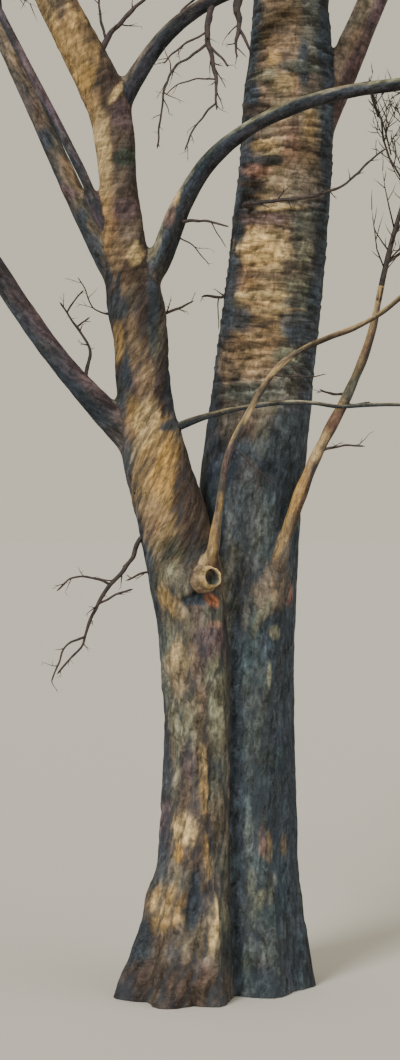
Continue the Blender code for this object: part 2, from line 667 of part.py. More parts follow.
# ---- The tree -------------------------------------------------------------------------------------
def main():
    """Builds every node of the tree."""
    clear_scene()
    tree = new_collection("bare_winter_tree")
    helpers = new_collection("cutters_and_sections")
    finishes = {
        "stem_bark": bark("stem_bark", (0.30, 0.23, 0.15), 0.9),
        "bough_bark": bark("bough_bark", (0.16, 0.12, 0.09), 0.9),
        "shoot_bark": bark("shoot_bark", (0.40, 0.32, 0.20), 0.8),
        "twig_bark": bark("twig_bark", (0.10, 0.07, 0.055), 0.85),
    }
    nodes, sleeves, axes, room = {}, {}, {}, Room()

    def finish_node(obj, finish):
        """Gives a node its bark."""
        obj.data.materials.clear()
        obj.data.materials.append(finishes[finish])
        nodes[obj.name] = obj

    def limb_piece(name, axis, start, end, sides, finish, trim=True):
        """One limb between two distances along its axis, with its sleeve and its entry in the room."""
        points, radii = axis.piece(start, end, trim_start=GAP if trim else 0.0)
        finish_node(tube(name, points, radii, sides, tree, helpers), finish)
        points, radii = axis.piece(start, end, trim_start=-SLEEVE if trim else 0.0, trim_end=-SLEEVE)
        sleeve = tube(name + "_sleeve", points, [r + SLEEVE for r in radii], sides, helpers, helpers)
        sleeves[name] = as_cutter(sleeve)
        room.add(points, radii, name, is_stem=False)

    axes["left_axis"] = left = Axis(LEFT_AXIS, LEFT_FOOT, TRUNK_STEP, SPARSE_FROM)
    axes["right_axis"] = right = Axis(RIGHT_AXIS, RIGHT_FOOT, TRUNK_STEP, SPARSE_FROM)
    finish_node(make_trunk("trunk", left, right, 0.0, True, tree, helpers), "stem_bark")
    sleeves["trunk"] = as_cutter(make_trunk("trunk_sleeve", left, right, SLEEVE, False, helpers, helpers))
    left_parts = [left.middle_near(along) for along in (LEFT_CROTCH, LEFT_FORK, LEFT_AXIS.bare)]
    right_parts = [right.middle_near(along) for along in (RIGHT_CROTCH, RIGHT_AXIS.bare)]
    room.add(*left.piece(0, left_parts[0]), "trunk", is_stem=False)
    room.add(*right.piece(0, right_parts[0]), "trunk", is_stem=False)
    limb_piece("left_stem", left, *left_parts[:2], 16, "stem_bark")
    limb_piece("centre_stem", left, *left_parts[1:], 12, "stem_bark")
    limb_piece("right_stem", right, *right_parts, 14, "stem_bark")
    masses = [("centre_twigs", left, left_parts[2]), ("right_twigs", right, right_parts[1])]

    def step_of(limb):
        """How far apart a limb's points lie: closer where it is bent more."""
        if limb in CROWN:
            return CROWN_STEP
        return SHOOT_STEP if limb.sides < 8 else LIMB_STEP

    def parts_of(parent, along):
        """The nodes of a limb that a root at a distance along it has to fit."""
        if parent == "left_axis":
            if along > LEFT_FORK + 0.5:
                return ["centre_stem"]
            return ["trunk"] if along < LEFT_CROTCH - 0.1 else ["left_stem", "trunk", "centre_stem"]
        if parent == "right_axis":
            return ["trunk"] if along < RIGHT_CROTCH - 0.1 else ["right_stem"]
        return [parent]

    for limb in (*BOUGHS, *CROWN):
        start, _, _ = axes[limb.parent].at(limb.leaves_at)
        axes[limb.name] = axis = Axis(limb, start, step_of(limb))
        tip = axis.middle_near(limb.bare)
        limb_piece(limb.name, axis, 0.0, tip, limb.sides, limb.finish, trim=False)
        cutters = dict.fromkeys((*parts_of(limb.parent, limb.leaves_at), *limb.clears))
        fit_round(nodes[limb.name], [sleeves[name] for name in cutters])
        masses.append((limb.name + "_twigs", axis, tip))

    fused = {}
    for limb in TWIGS:
        start, _, _ = axes[limb.parent].at(limb.leaves_at)
        axes[limb.name] = axis = Axis(limb, start, TWIG_STEP)
        if limb.node == limb.name:
            root = tube(limb.name, axis.points, axis.radii, limb.sides, tree, helpers)
            cutters = [sleeves[name] for name in parts_of(limb.parent, limb.leaves_at)]
            fused[limb.node] = (root, new_collection(limb.name + "_others"), cutters)
        else:
            tube(limb.name, axis.points, axis.radii, limb.sides, fused[limb.node][1], helpers)
        room.add(axis.points, axis.radii, limb.node, is_stem=False)
    for root, others, cutters in fused.values():
        join(root, others)
        fit_round(root, cutters)
        finish_node(root, "bough_bark")

    stems, roots = {}, {}
    for name, axis, tip in masses:
        stems[name] = thinned(*axis.piece(tip, axis.along[-1], trim_start=GAP))
    for limb in SPRAYS:
        start, _, _ = axes[limb.parent].at(limb.leaves_at)
        axis = Axis(limb, start, CROWN_STEP)
        stems[limb.name] = axis.points, axis.radii
        roots[limb.name] = [sleeves[name] for name in parts_of(limb.parent, limb.leaves_at)]
    for name, (points, radii) in stems.items():
        room.add(points, radii, name, is_stem=True)
    for name, (points, radii) in stems.items():
        mass = tube(name, points, radii, 4, tree, helpers)
        others = new_collection(name + "_others")
        for index, (twig, thick) in enumerate(grow_mass(name, points, radii, room)):
            tube(f"{name}_{index}", twig, thick, 3, others, helpers)
        join(mass, others)
        fit_round(mass, roots.get(name, []))
        finish_node(mass, "twig_bark")


main()
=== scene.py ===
"""The looks of a bare winter tree: bark in relief, boughs carried out to fine twigs, and its studio.

The limbs follow the same courses of marks as the solids, and the twigs grow by the same seeded
rule, carried two orders further. Metres, +Z up. Bearings are degrees round +Z: 0 is +X, 90 is +Y
and 270 faces the viewer. A climb of 90 is upright.
"""

import sys

import json
import logging
import math
import random
from collections.abc import Callable
from dataclasses import dataclass
from enum import Enum

import bmesh
import bpy
import numpy as np
from mathutils import Matrix, Vector

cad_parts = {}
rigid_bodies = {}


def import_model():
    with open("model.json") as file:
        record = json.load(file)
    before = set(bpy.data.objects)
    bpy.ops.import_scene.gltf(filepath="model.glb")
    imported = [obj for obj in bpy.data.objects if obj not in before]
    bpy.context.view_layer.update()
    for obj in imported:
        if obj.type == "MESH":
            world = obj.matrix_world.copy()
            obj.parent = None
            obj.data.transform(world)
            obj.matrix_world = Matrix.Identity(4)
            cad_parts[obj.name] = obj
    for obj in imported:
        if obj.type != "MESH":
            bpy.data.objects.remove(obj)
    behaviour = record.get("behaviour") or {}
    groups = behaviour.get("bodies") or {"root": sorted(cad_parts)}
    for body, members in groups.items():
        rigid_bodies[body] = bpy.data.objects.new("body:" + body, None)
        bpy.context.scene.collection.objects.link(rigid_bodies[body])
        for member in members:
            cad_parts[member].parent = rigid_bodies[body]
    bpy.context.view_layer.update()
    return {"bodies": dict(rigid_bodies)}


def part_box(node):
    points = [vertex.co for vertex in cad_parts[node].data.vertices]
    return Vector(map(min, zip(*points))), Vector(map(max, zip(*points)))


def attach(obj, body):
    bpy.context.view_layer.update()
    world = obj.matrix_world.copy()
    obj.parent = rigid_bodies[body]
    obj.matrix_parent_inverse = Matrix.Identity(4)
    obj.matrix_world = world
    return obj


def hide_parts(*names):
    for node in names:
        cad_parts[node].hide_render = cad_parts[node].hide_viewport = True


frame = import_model()

LOG = logging.getLogger("bare_winter_tree")
Triple = tuple[float, float, float]
Marks = tuple[tuple[float, float, float, float], ...]
Stalk = tuple[list[Vector], list[float]]  # points and radii
Rows = np.ndarray
Mesh = bpy.types.Mesh
Thing = bpy.types.Object
Material = bpy.types.Material
Socket = bpy.types.NodeSocket

# ---- The courses of the limbs, as in the solids ----
LEFT_FOOT = Vector((-0.105, -0.100, 0.0))
RIGHT_FOOT = Vector((0.128, 0.120, 0.0))
BELOW_GROUND = 0.10
LEFT_CROTCH, RIGHT_CROTCH, LEFT_FORK = 2.04, 2.20, 2.90
FLARE_HEIGHT, FLARE_POWER, FLARE_FLOOR = 0.56, 1.35, 0.16
LEFT_FLARE, RIGHT_FLARE = 0.150, 0.085
LEFT_BUTTRESSES = ((184, 1.00, 34), (246, 0.85, 24), (300, 0.75, 20), (95, 0.60, 30))
RIGHT_BUTTRESSES = ((352, 0.50, 30), (292, 0.75, 22), (45, 0.90, 28), (110, 1.00, 26))
FLUTE_DEPTH, FLUTE_HEIGHT = 0.009, 1.9
KNOT_HEIGHT, KNOT_BEARING, KNOT_CLIMB, KNOT_REACH = 1.632, 302, 8, 0.215
KNOT_RADII = (0.074, 0.050)
GAP, TWIG_ROOM, MASS_ROOM = 0.0003, 0.012, 0.015
TRUNK_STEP, LIMB_STEP, SHOOT_STEP, TWIG_STEP, CROWN_STEP = 0.13, 0.20, 0.11, 0.08, 0.30
SPARSE_FROM, MASS_STEP = 4.2, 0.36
CROOK, CROOK_WAVE = 5.0, 0.9
GOLDEN_ANGLE = 137.5
SIDE_PACE, SIDE_TWIGS, SIDE_SPREAD, SIDE_REACH, SIDE_SHORTENING = 0.36, (4, 6), 46, 0.48, 0.50
SIDE_FIRST, SIDE_LAST = 0.10, 0.93
FINE_TWIGS, FINE_SPREAD, FINE_REACH = 2, 40, 0.55
TWIG_LIFT, TWIG_THICKNESS, THINNEST, SHORTER_TRY = 0.34, 0.56, 0.0038, 0.62


class Tone(Enum):
    """The bark's colours, linear."""

    CREAM = (0.44, 0.315, 0.150)
    OCHRE = (0.28, 0.180, 0.070)
    GOLD = (0.35, 0.205, 0.055)
    TAN = (0.195, 0.130, 0.072)
    ORANGE = (0.40, 0.135, 0.055)
    ROSE = (0.27, 0.145, 0.105)
    UMBER = (0.050, 0.034, 0.026)
    PURPLE = (0.080, 0.052, 0.056)
    GREY_BROWN = (0.112, 0.085, 0.060)
    GREY_GREEN = (0.060, 0.069, 0.058)
    SAGE = (0.155, 0.152, 0.100)
    MOSS = (0.030, 0.040, 0.030)
    STEEL = (0.045, 0.056, 0.064)
    SLATE = (0.026, 0.035, 0.047)
    INK = (0.018, 0.018, 0.022)


(CREAM, OCHRE, GOLD, TAN, ORANGE, ROSE, UMBER, PURPLE, GREY_BROWN, GREY_GREEN, SAGE, MOSS, STEEL, SLATE,
 INK) = Tone


@dataclass(frozen=True)
class Limb:
    """One tapering limb: what it grows from and the marks (along, bearing, climb, radius) it follows."""

    name: str
    parent: str
    leaves_at: float
    marks: Marks
    bare: float = 0.0
    sides: int = 8
    crook: float = 0.0


LEFT_AXIS = Limb(
    "left_axis", "", 0.0,
    (
        (0.00, 0, 88, 0.150), (0.50, 0, 88, 0.138), (1.10, 0, 90, 0.126), (1.45, 0, 95, 0.134),
        (1.75, 0, 102, 0.146), (2.00, 0, 107, 0.136), (2.20, 0, 103, 0.128), (2.35, 0, 95, 0.112),
        (2.55, 0, 94, 0.108), (2.75, 0, 101, 0.116), (3.02, 0, 98, 0.082), (3.28, 0, 94, 0.076),
        (3.45, 0, 97, 0.080), (3.58, 0, 112, 0.088), (3.75, 0, 118, 0.084), (4.10, 0, 116, 0.074),
        (4.60, 350, 108, 0.064), (5.60, 345, 96, 0.050), (6.80, 20, 98, 0.034), (8.90, 30, 88, 0.007),
    ),
    bare=7.1,
)
RIGHT_AXIS = Limb(
    "right_axis", "", 0.0,
    (
        (0.00, 0, 91, 0.224), (0.50, 0, 91, 0.211), (1.20, 0, 90, 0.207), (1.70, 0, 87, 0.209),
        (2.10, 0, 84, 0.208), (2.60, 0, 83, 0.200), (3.20, 0, 85, 0.192), (3.60, 0, 88, 0.182),
        (3.95, 0, 90, 0.156), (4.60, 150, 85, 0.140), (5.50, 150, 80, 0.100), (7.00, 120, 89, 0.066),
        (8.40, 100, 83, 0.038), (10.10, 110, 92, 0.007),
    ),
    bare=8.3,
)
BOUGHS = (
    Limb("low_left_bough", "left_axis", 2.13,
         ((0.0, 186, 43, 0.088), (0.22, 186, 44, 0.060), (0.50, 188, 50, 0.046), (0.85, 192, 57, 0.043),
          (1.70, 205, 50, 0.031), (2.60, 195, 62, 0.018), (3.40, 188, 74, 0.006)), bare=1.75),
    Limb("outer_left_bough", "left_axis", 2.76,
         ((0.0, 174, 54, 0.072), (0.25, 174, 63, 0.048), (0.80, 172, 66, 0.038), (1.80, 150, 60, 0.031),
          (2.80, 140, 70, 0.017), (3.70, 135, 80, 0.006)), bare=1.9),
    Limb("inner_left_bough", "left_axis", 2.93,
         ((0.0, 192, 58, 0.036), (0.30, 190, 64, 0.022), (0.80, 184, 62, 0.019), (1.60, 200, 66, 0.013),
          (2.50, 212, 74, 0.005)), bare=1.2),
    Limb("arching_bough", "left_axis", 3.49,
         ((0.0, 0, 62, 0.054), (0.25, 355, 58, 0.036), (0.48, 352, 38, 0.031), (0.75, 350, 17, 0.028),
          (1.40, 345, 24, 0.022), (2.10, 338, 46, 0.014), (2.90, 332, 68, 0.005)), bare=1.55),
    Limb("crossing_bough", "left_axis", 2.78,
         ((0.0, 346, 48, 0.066), (0.25, 347, 69, 0.046), (0.45, 348, 63, 0.040), (0.60, 348, 47, 0.036),
          (0.78, 348, 33, 0.031), (1.00, 350, 18, 0.030), (1.35, 352, 6, 0.027), (2.30, 345, 12, 0.019),
          (3.20, 338, 34, 0.012), (4.10, 334, 60, 0.005)), bare=2.2),
    Limb("right_high_bough", "right_axis", 3.27,
         ((0.0, 4, 58, 0.115), (0.35, 8, 64, 0.072), (0.75, 10, 67, 0.060), (1.80, 15, 58, 0.042),
          (3.00, 8, 67, 0.023), (4.20, 2, 77, 0.006)), bare=2.2),
    Limb("right_leader", "right_axis", 4.35,
         ((0.0, 322, 54, 0.120), (0.40, 322, 64, 0.086), (1.20, 324, 75, 0.070), (2.40, 336, 74, 0.048),
          (3.60, 312, 82, 0.027), (5.00, 300, 86, 0.006)), bare=3.2),
    Limb("knot_shoot", "left_axis", 1.62,
         ((0.0, 302, 12, 0.038), (0.16, 304, 46, 0.033), (0.27, 334, 80, 0.023), (0.38, 345, 81, 0.016),
          (0.55, 350, 82, 0.014), (0.66, 350, 66, 0.013), (0.76, 350, 59, 0.013), (0.90, 350, 61, 0.0125),
          (1.02, 355, 44, 0.012), (1.12, 0, 26, 0.0115), (1.32, 2, 20, 0.011), (1.48, 4, 38, 0.010),
          (2.20, 0, 52, 0.006), (2.80, 0, 66, 0.004)), bare=1.75, sides=6),
    Limb("right_side_shoot", "right_axis", 1.50,
         ((0.0, 307, 36, 0.056), (0.26, 309, 50, 0.040), (0.38, 332, 73, 0.028), (0.62, 350, 69, 0.025),
          (0.88, 355, 61, 0.022), (1.15, 0, 68, 0.019), (1.40, 2, 80, 0.013), (1.90, 12, 70, 0.008),
          (2.50, 15, 64, 0.004)), bare=1.5, sides=6),
    Limb("cross_twig", "left_axis", 2.22,
         ((0.0, 342, 24, 0.026), (0.16, 345, 20, 0.015), (0.32, 350, 12, 0.011), (0.56, 354, 4, 0.009),
          (0.70, 354, -10, 0.008), (0.84, 356, 4, 0.0075), (1.02, 0, -2, 0.007), (1.60, 5, 18, 0.0055),
          (2.00, 8, 32, 0.004)), bare=1.25, sides=6),
)
TWIGS = (
    Limb("drooping_spray", "left_axis", 1.90,
         ((0.0, 190, -34, 0.016), (0.13, 190, -36, 0.011), (0.17, 190, -66, 0.010), (0.23, 190, -68, 0.009),
          (0.29, 192, -50, 0.0085), (0.34, 194, -31, 0.0085), (0.39, 196, -79, 0.009),
          (0.44, 194, -58, 0.008), (0.50, 192, -62, 0.007), (0.57, 190, -80, 0.006),
          (0.63, 189, -63, 0.005), (0.70, 188, -38, 0.0045), (0.79, 188, -58, 0.0035))),
    Limb("drooping_arc", "drooping_spray", 0.37,
         ((0.0, 200, 30, 0.006), (0.05, 202, 18, 0.005), (0.11, 203, 4, 0.0045), (0.16, 203, -10, 0.004),
          (0.21, 202, -40, 0.0038), (0.25, 200, -54, 0.0035))),
    Limb("drooping_fork", "drooping_spray", 0.60,
         ((0.0, 196, -20, 0.005), (0.06, 194, -26, 0.0045), (0.10, 192, -64, 0.004),
          (0.24, 190, -72, 0.0035))),
    Limb("drooping_heel", "drooping_spray", 0.46,
         ((0.0, 14, 24, 0.005), (0.05, 12, 30, 0.005), (0.10, 10, 18, 0.0045), (0.15, 10, 12, 0.0045))),
    Limb("upright_twig", "low_left_bough", 0.40,
         ((0.0, 40, 78, 0.010), (0.07, 30, 84, 0.008), (0.115, 20, 78, 0.0065), (0.16, 170, 80, 0.006),
          (0.20, 174, 60, 0.0058), (0.245, 174, 67, 0.0055), (0.285, 172, 49, 0.005),
          (0.35, 172, 56, 0.004), (0.39, 172, 80, 0.0035))),
    Limb("upright_fork", "upright_twig", 0.265,
         ((0.0, 10, 40, 0.0045), (0.07, 15, 36, 0.0035))),
    Limb("upright_tip", "upright_twig", 0.335,
         ((0.0, 20, 66, 0.004), (0.06, 18, 50, 0.0037), (0.12, 16, 50, 0.0032))),
    Limb("elbow_twig", "crossing_bough", 0.34,
         ((0.0, 322, 4, 0.010), (0.09, 330, -4, 0.006), (0.25, 338, -20, 0.0035))),
    Limb("front_twig", "right_axis", 3.12,
         ((0.0, 226, 6, 0.012), (0.20, 232, 4, 0.010), (0.24, 318, 3, 0.009), (0.31, 340, 3, 0.008),
          (0.44, 354, 5, 0.007), (0.60, 4, 20, 0.006), (0.72, 6, 48, 0.005), (0.88, 6, 34, 0.0035))),
    Limb("forked_twig", "left_axis", 3.72,
         ((0.0, 0, 62, 0.026), (0.10, 356, 56, 0.012), (0.22, 350, 46, 0.010), (0.42, 345, 34, 0.0045))),
    Limb("forked_twig_arm", "forked_twig", 0.12,
         ((0.0, 170, 70, 0.006), (0.12, 150, 84, 0.005), (0.26, 60, 76, 0.0035))),
    Limb("hanging_spray", "arching_bough", 0.63,
         ((0.0, 270, -60, 0.015), (0.06, 200, -80, 0.0135), (0.12, 230, -82, 0.0125), (0.20, 330, -74, 0.010),
          (0.32, 350, -80, 0.008), (0.40, 190, -64, 0.005), (0.48, 350, -56, 0.0038))),
    Limb("hanging_tail", "hanging_spray", 0.44,
         ((0.0, 210, -40, 0.0045), (0.10, 200, -52, 0.004), (0.24, 190, -76, 0.0035))),
    Limb("hanging_fork", "hanging_spray", 0.19,
         ((0.0, 350, -40, 0.006), (0.12, 345, -58, 0.0038))),
    Limb("hanging_arm", "hanging_spray", 0.18,
         ((0.0, 186, -38, 0.006), (0.17, 188, -36, 0.005), (0.23, 192, -80, 0.0045),
          (0.50, 200, -84, 0.0035))),
    Limb("hanging_lace", "hanging_spray", 0.13,
         ((0.0, 182, -30, 0.005), (0.16, 176, -34, 0.004), (0.22, 180, -60, 0.0035))),
    Limb("hanging_twig", "arching_bough", 0.75,
         ((0.0, 276, -58, 0.020), (0.09, 200, -72, 0.016), (0.14, 330, -74, 0.012), (0.24, 200, -64, 0.006),
          (0.33, 340, -50, 0.0038))),
    Limb("hanging_twig_fork", "hanging_twig", 0.18,
         ((0.0, 350, -60, 0.008), (0.11, 350, -64, 0.0045))),
)
# The solid that each short twig belongs to: its parent's, where that is a short twig too
TWIG_NODES = {limb.name: limb.parent if limb.parent in {twig.name for twig in TWIGS} else limb.name
              for limb in TWIGS}


def crown_boughs(stem: str, names: tuple[str, ...], first_at: float, last_at: float, first_bearing: float,
                 lengths: tuple[float, float], climbs: tuple[float, float], radii: tuple[float, float],
                 bare_share: float = 0.42) -> tuple[Limb, ...]:
    """Boughs up a stem in a spiral, the lowest the longest and the most level.

    Args:
        stem: the limb that they grow from.
        names: their names, from the lowest up.
        first_at: how far along the stem the lowest leaves.
        last_at: how far along it the highest leaves.
        first_bearing: the lowest one's bearing.
        lengths: of the lowest and the highest.
        climbs: of the lowest and the highest.
        radii: at the root, of the lowest and the highest.
        bare_share: the share of each that is bare.

    Returns:
        The limbs.
    """
    boughs = []
    for index, name in enumerate(names):
        share = index / max(1, len(names) - 1)
        length, climb, radius, leaves_at = (
            low + (high - low) * share for low, high in (lengths, climbs, radii, (first_at, last_at))
        )
        bearing = first_bearing + index * GOLDEN_ANGLE
        marks = (
            (0.0, bearing, climb + 14, radius),
            (0.25 * length, bearing, climb, 0.64 * radius),
            (0.60 * length, bearing + 14, climb + 4, 0.40 * radius),
            (length, bearing + 4, climb + 26, 0.005),
        )
        boughs.append(Limb(name, stem, leaves_at, marks, bare=bare_share * length, sides=7, crook=CROOK))
    return tuple(boughs)


def numbered(name: str, count: int) -> tuple[str, ...]:
    """The names of several boughs of one kind."""
    return tuple(f"{name}_{number}" for number in range(1, count + 1))


CROWN = (
    *crown_boughs("right_axis", numbered("right_bough", 4), 4.75, 6.75, 100, (3.30, 2.80), (32, 46),
                  (0.070, 0.046)),
    *crown_boughs("left_axis", numbered("centre_bough", 3), 4.55, 5.95, 262, (2.90, 2.50), (34, 46),
                  (0.042, 0.032)),
)
SPRAYS = (
    *crown_boughs("right_axis", numbered("right_spray", 3), 7.30, 8.10, 30, (2.30, 1.90), (42, 54),
                  (0.028, 0.022), 0.0),
    *crown_boughs("right_leader", numbered("leader_spray", 2), 1.35, 2.45, 20, (2.80, 2.40), (30, 42),
                  (0.034, 0.026), 0.0),
    *crown_boughs("left_axis", numbered("centre_spray", 2), 6.35, 6.80, 40, (2.00, 1.80), (44, 54),
                  (0.024, 0.020), 0.0),
    *crown_boughs("low_left_bough", ("low_left_spray",), 1.05, 1.05, 250, (2.30, 2.30), (30, 30),
                  (0.024, 0.024), 0.0),
    *crown_boughs("outer_left_bough", ("outer_left_spray",), 1.25, 1.25, 92, (2.50, 2.50), (34, 34),
                  (0.024, 0.024), 0.0),
    *crown_boughs("right_high_bough", numbered("right_high_spray", 2), 1.25, 1.85, 312, (2.80, 2.50),
                  (34, 40), (0.030, 0.024), 0.0),
    *crown_boughs("crossing_bough", ("crossing_spray",), 1.85, 1.85, 286, (1.90, 1.90), (40, 40),
                  (0.014, 0.014), 0.0),
)


# ---- Courses: from marks to points ----
def mark_at(marks: Marks, along: float) -> Triple:
    """What a course does between its marks.

    Args:
        marks: (along, bearing, climb, radius) rows.
        along: a distance along the course.

    Returns:
        The bearing, the climb and the radius there.
    """
    for before, after in zip(marks, marks[1:]):
        if along <= after[0]:
            break
    share = (along - before[0]) / (after[0] - before[0])
    turn = (after[1] - before[1] + 180) % 360 - 180
    climb, radius = (before[k] + (after[k] - before[k]) * share for k in (2, 3))
    return before[1] + turn * share, climb, radius


def heading(bearing: float, climb: float) -> Vector:
    """The unit vector of a bearing and a climb.

    Args:
        bearing: in degrees round +Z.
        climb: in degrees above the level.

    Returns:
        The vector.
    """
    level = math.cos(math.radians(climb))
    return Vector((
        level * math.cos(math.radians(bearing)),
        level * math.sin(math.radians(bearing)),
        math.sin(math.radians(climb)),
    ))


class Course:
    """A limb's course: the evenly spaced points that its solid keeps to, and a smooth line through them."""

    def __init__(self, limb: Limb, start: Vector, step: float, sparse_from: float = math.inf) -> None:
        """Follows the limb's marks from its start.

        Args:
            limb: the limb; one that wanders takes its phases from its name.
            start: where its axis begins.
            step: about how far apart its points lie.
            sparse_from: the distance along past which the solid keeps only every third point.
        """
        self.limb, self.sparse_from = limb, sparse_from
        length = limb.marks[-1][0]
        count = max(3, round(length / step))
        pace = length / count
        phases = random.Random(limb.name)
        phase, other_phase = (phases.uniform(0, math.tau) for _ in range(2))
        self.points, self.along, self.radii = [start], [0.0], [limb.marks[0][3]]
        for index in range(count):
            middle = (index + 0.5) * pace
            bearing, climb, _ = mark_at(limb.marks, middle)
            wave = math.tau * middle / CROOK_WAVE
            bearing += 1.5 * limb.crook * math.sin(wave + phase)
            climb += limb.crook * math.sin(1.3 * wave + other_phase)
            self.points.append(self.points[-1] + heading(bearing, climb) * pace)
            self.along.append((index + 1) * pace)
            self.radii.append(mark_at(limb.marks, (index + 1) * pace)[2])

    def segment(self, along: float) -> tuple[int, float]:
        """Finds the point before a distance along.

        Args:
            along: the distance.

        Returns:
            The point's index, and the share of the way to the next.
        """
        pace = self.along[1]
        index = min(int(along / pace), len(self.along) - 2)
        return index, along / pace - index

    def at(self, along: float) -> tuple[Vector, Vector, float]:
        """Finds the place at a distance along.

        Args:
            along: the distance.

        Returns:
            The point, direction and radius there.
        """
        index, share = self.segment(along)
        first, second = self.points[index], self.points[index + 1]
        radius = self.radii[index] * (1 - share) + self.radii[index + 1] * share
        return first.lerp(second, share), (second - first).normalized(), radius

    def middle_near(self, along: float) -> float:
        """The distance along of the middle of the segment that holds along."""
        return (self.segment(along)[0] + 0.5) * self.along[1]

    def piece(self, start: float, end: float, trim_start: float = 0.0) -> Stalk:
        """The points that the solid keeps between two distances along.

        Args:
            start: where the piece begins.
            end: where it ends.
            trim_start: how far its beginning is moved inwards.

        Returns:
            The points and the radii.
        """
        low = start + trim_start
        inner = [i for i, along in enumerate(self.along) if start + 1e-6 < along < end - 1e-6]
        dense = [i for i in inner if self.along[i] < self.sparse_from or i % 3 == 0]
        inner = sorted({inner[0], *dense, inner[-1]})
        ends = [self.at(low), self.at(end)]
        points = [ends[0][0], *(self.points[i] for i in inner), ends[1][0]]
        radii = [ends[0][2], *(self.radii[i] for i in inner), ends[1][2]]
        return points, radii

    def smooth(self, start: float, end: float, step: float) -> tuple[Rows, Rows, Rows]:
        """A smooth line through the course's points.

        Args:
            start: where it begins, along the course.
            end: where it ends.
            step: about how far apart its points lie.

        Returns:
            Its points, its radii and how far along each lies.
        """
        count = max(2, round((end - start) / step) + 1)
        along = np.linspace(start, end, count)
        knots = np.array([(*point, radius) for point, radius in zip(self.points, self.radii)])
        knots = np.vstack([2 * knots[0] - knots[1], knots, 2 * knots[-1] - knots[-2]])
        pace = self.along[1]
        index = np.clip((along / pace).astype(int), 0, len(self.points) - 2)
        share = (along / pace - index)[:, None]
        before, first, second, after = (knots[index + k] for k in range(4))
        line = 0.5 * (
            2 * first + (second - before) * share
            + (2 * before - 5 * first + 4 * second - after) * share ** 2
            + (3 * first - before - 3 * second + after) * share ** 3
        )
        return line[:, :3], np.maximum(line[:, 3], 0.0012), along


# ---- Noise and small sums ----
def ramp(values: Rows, low: float, high: float) -> Rows:
    """Values eased from 0 at low to 1 at high."""
    share = np.clip((values - low) / (high - low), 0, 1)
    return share * share * (3 - 2 * share)


def unit(ways: Rows) -> Rows:
    """Rows made one long."""
    return ways / np.maximum(np.linalg.norm(ways, axis=-1, keepdims=True), 1e-12)


class Noise:
    """Smooth seeded noise over space, from about -1 to 1."""

    def __init__(self, seed: int) -> None:
        """Deals out the lattice's directions.

        Args:
            seed: the number that the directions come from.
        """
        chance = np.random.default_rng(seed)
        self.order = np.tile(chance.permutation(256), 2)
        self.ways = unit(chance.normal(size=(256, 3)))

    def at(self, places: Rows) -> Rows:
        """The noise at places.

        Args:
            places: rows of points.

        Returns:
            A value for each row.
        """
        floor = np.floor(places)
        off = places - floor
        cell = floor.astype(int) & 255
        ease = off * off * off * (off * (off * 6 - 15) + 10)
        total = np.zeros(len(places))
        for corner in range(8):
            step = np.array([corner & 1, corner >> 1 & 1, corner >> 2 & 1])
            spot = cell + step
            hashed = self.order[spot[:, 0] & 255]
            for k in (1, 2):
                hashed = self.order[hashed + (spot[:, k] & 255)]
            dot = (self.ways[hashed] * (off - step)).sum(1)
            total += dot * np.where(step, ease, 1 - ease).prod(1)
        return 1.7 * total

    def layered(self, places: Rows, layers: int) -> Rows:
        """The noise with finer and fainter layers of itself."""
        total = sum(self.at(places * 2 ** k + 17 * k) / 2 ** k for k in range(layers))
        return total / (2 - 2 ** (1 - layers))


# ---- Mesh helpers ----
def select_only(*objects: Thing) -> None:
    """Selects these objects alone, and makes the first active."""
    bpy.ops.object.select_all(action="DESELECT")
    for obj in objects:
        obj.select_set(True)
    bpy.context.view_layer.objects.active = objects[0]


def apply_modifiers(obj: Thing) -> None:
    """Applies all of an object's modifiers.

    Args:
        obj: the object.
    """
    select_only(obj)
    for modifier in list(obj.modifiers):
        bpy.ops.object.modifier_apply(modifier=modifier.name)


def rows_of(items: object, key: str, width: int = 3, kind: type = float) -> Rows:
    """Reads what each of a mesh's items holds.

    Args:
        items: its vertices, faces or the values of an attribute.
        key: what is read of each.
        width: how many numbers that is.
        kind: what they are.

    Returns:
        The numbers, a row for each item.
    """
    rows = np.empty(len(items) * width, kind)
    items.foreach_get(key, rows)
    return rows.reshape(-1, width)


def points_of(mesh: Mesh) -> Rows:
    """A mesh's vertices, as rows."""
    return rows_of(mesh.vertices, "co")


def move_points(mesh: Mesh, places: Rows) -> None:
    """Puts a mesh's vertices at these rows."""
    mesh.vertices.foreach_set("co", places.astype(np.float32).ravel())
    mesh.update()


def put(mesh: Mesh, name: str, values: Rows, kind: str = "FLOAT") -> None:
    """Keeps a number, a vector or a linear colour for each vertex of a mesh.

    Args:
        mesh: the mesh.
        name: what the values are kept under.
        values: one row for each vertex.
        kind: which of the three they are.
    """
    key = {"FLOAT": "value", "FLOAT_VECTOR": "vector", "FLOAT_COLOR": "color"}[kind]
    if kind == "FLOAT_COLOR":
        values = np.hstack([np.clip(values, 0, 1), np.ones((len(values), 1))])
    attribute = mesh.attributes.get(name) or mesh.attributes.new(name, kind, "POINT")
    attribute.data.foreach_set(key, values.astype(np.float32).ravel())


def edit_whole(obj: Thing, *steps: Callable[[], object]) -> None:
    """Takes steps in edit mode on all of a mesh.

    Args:
        obj: the mesh object.
        steps: what is done to it, in order.
    """
    select_only(obj)
    bpy.ops.object.mode_set(mode="EDIT")
    bpy.ops.mesh.select_all(action="SELECT")
    for step in steps:
        step()
    bpy.ops.object.mode_set(mode="OBJECT")


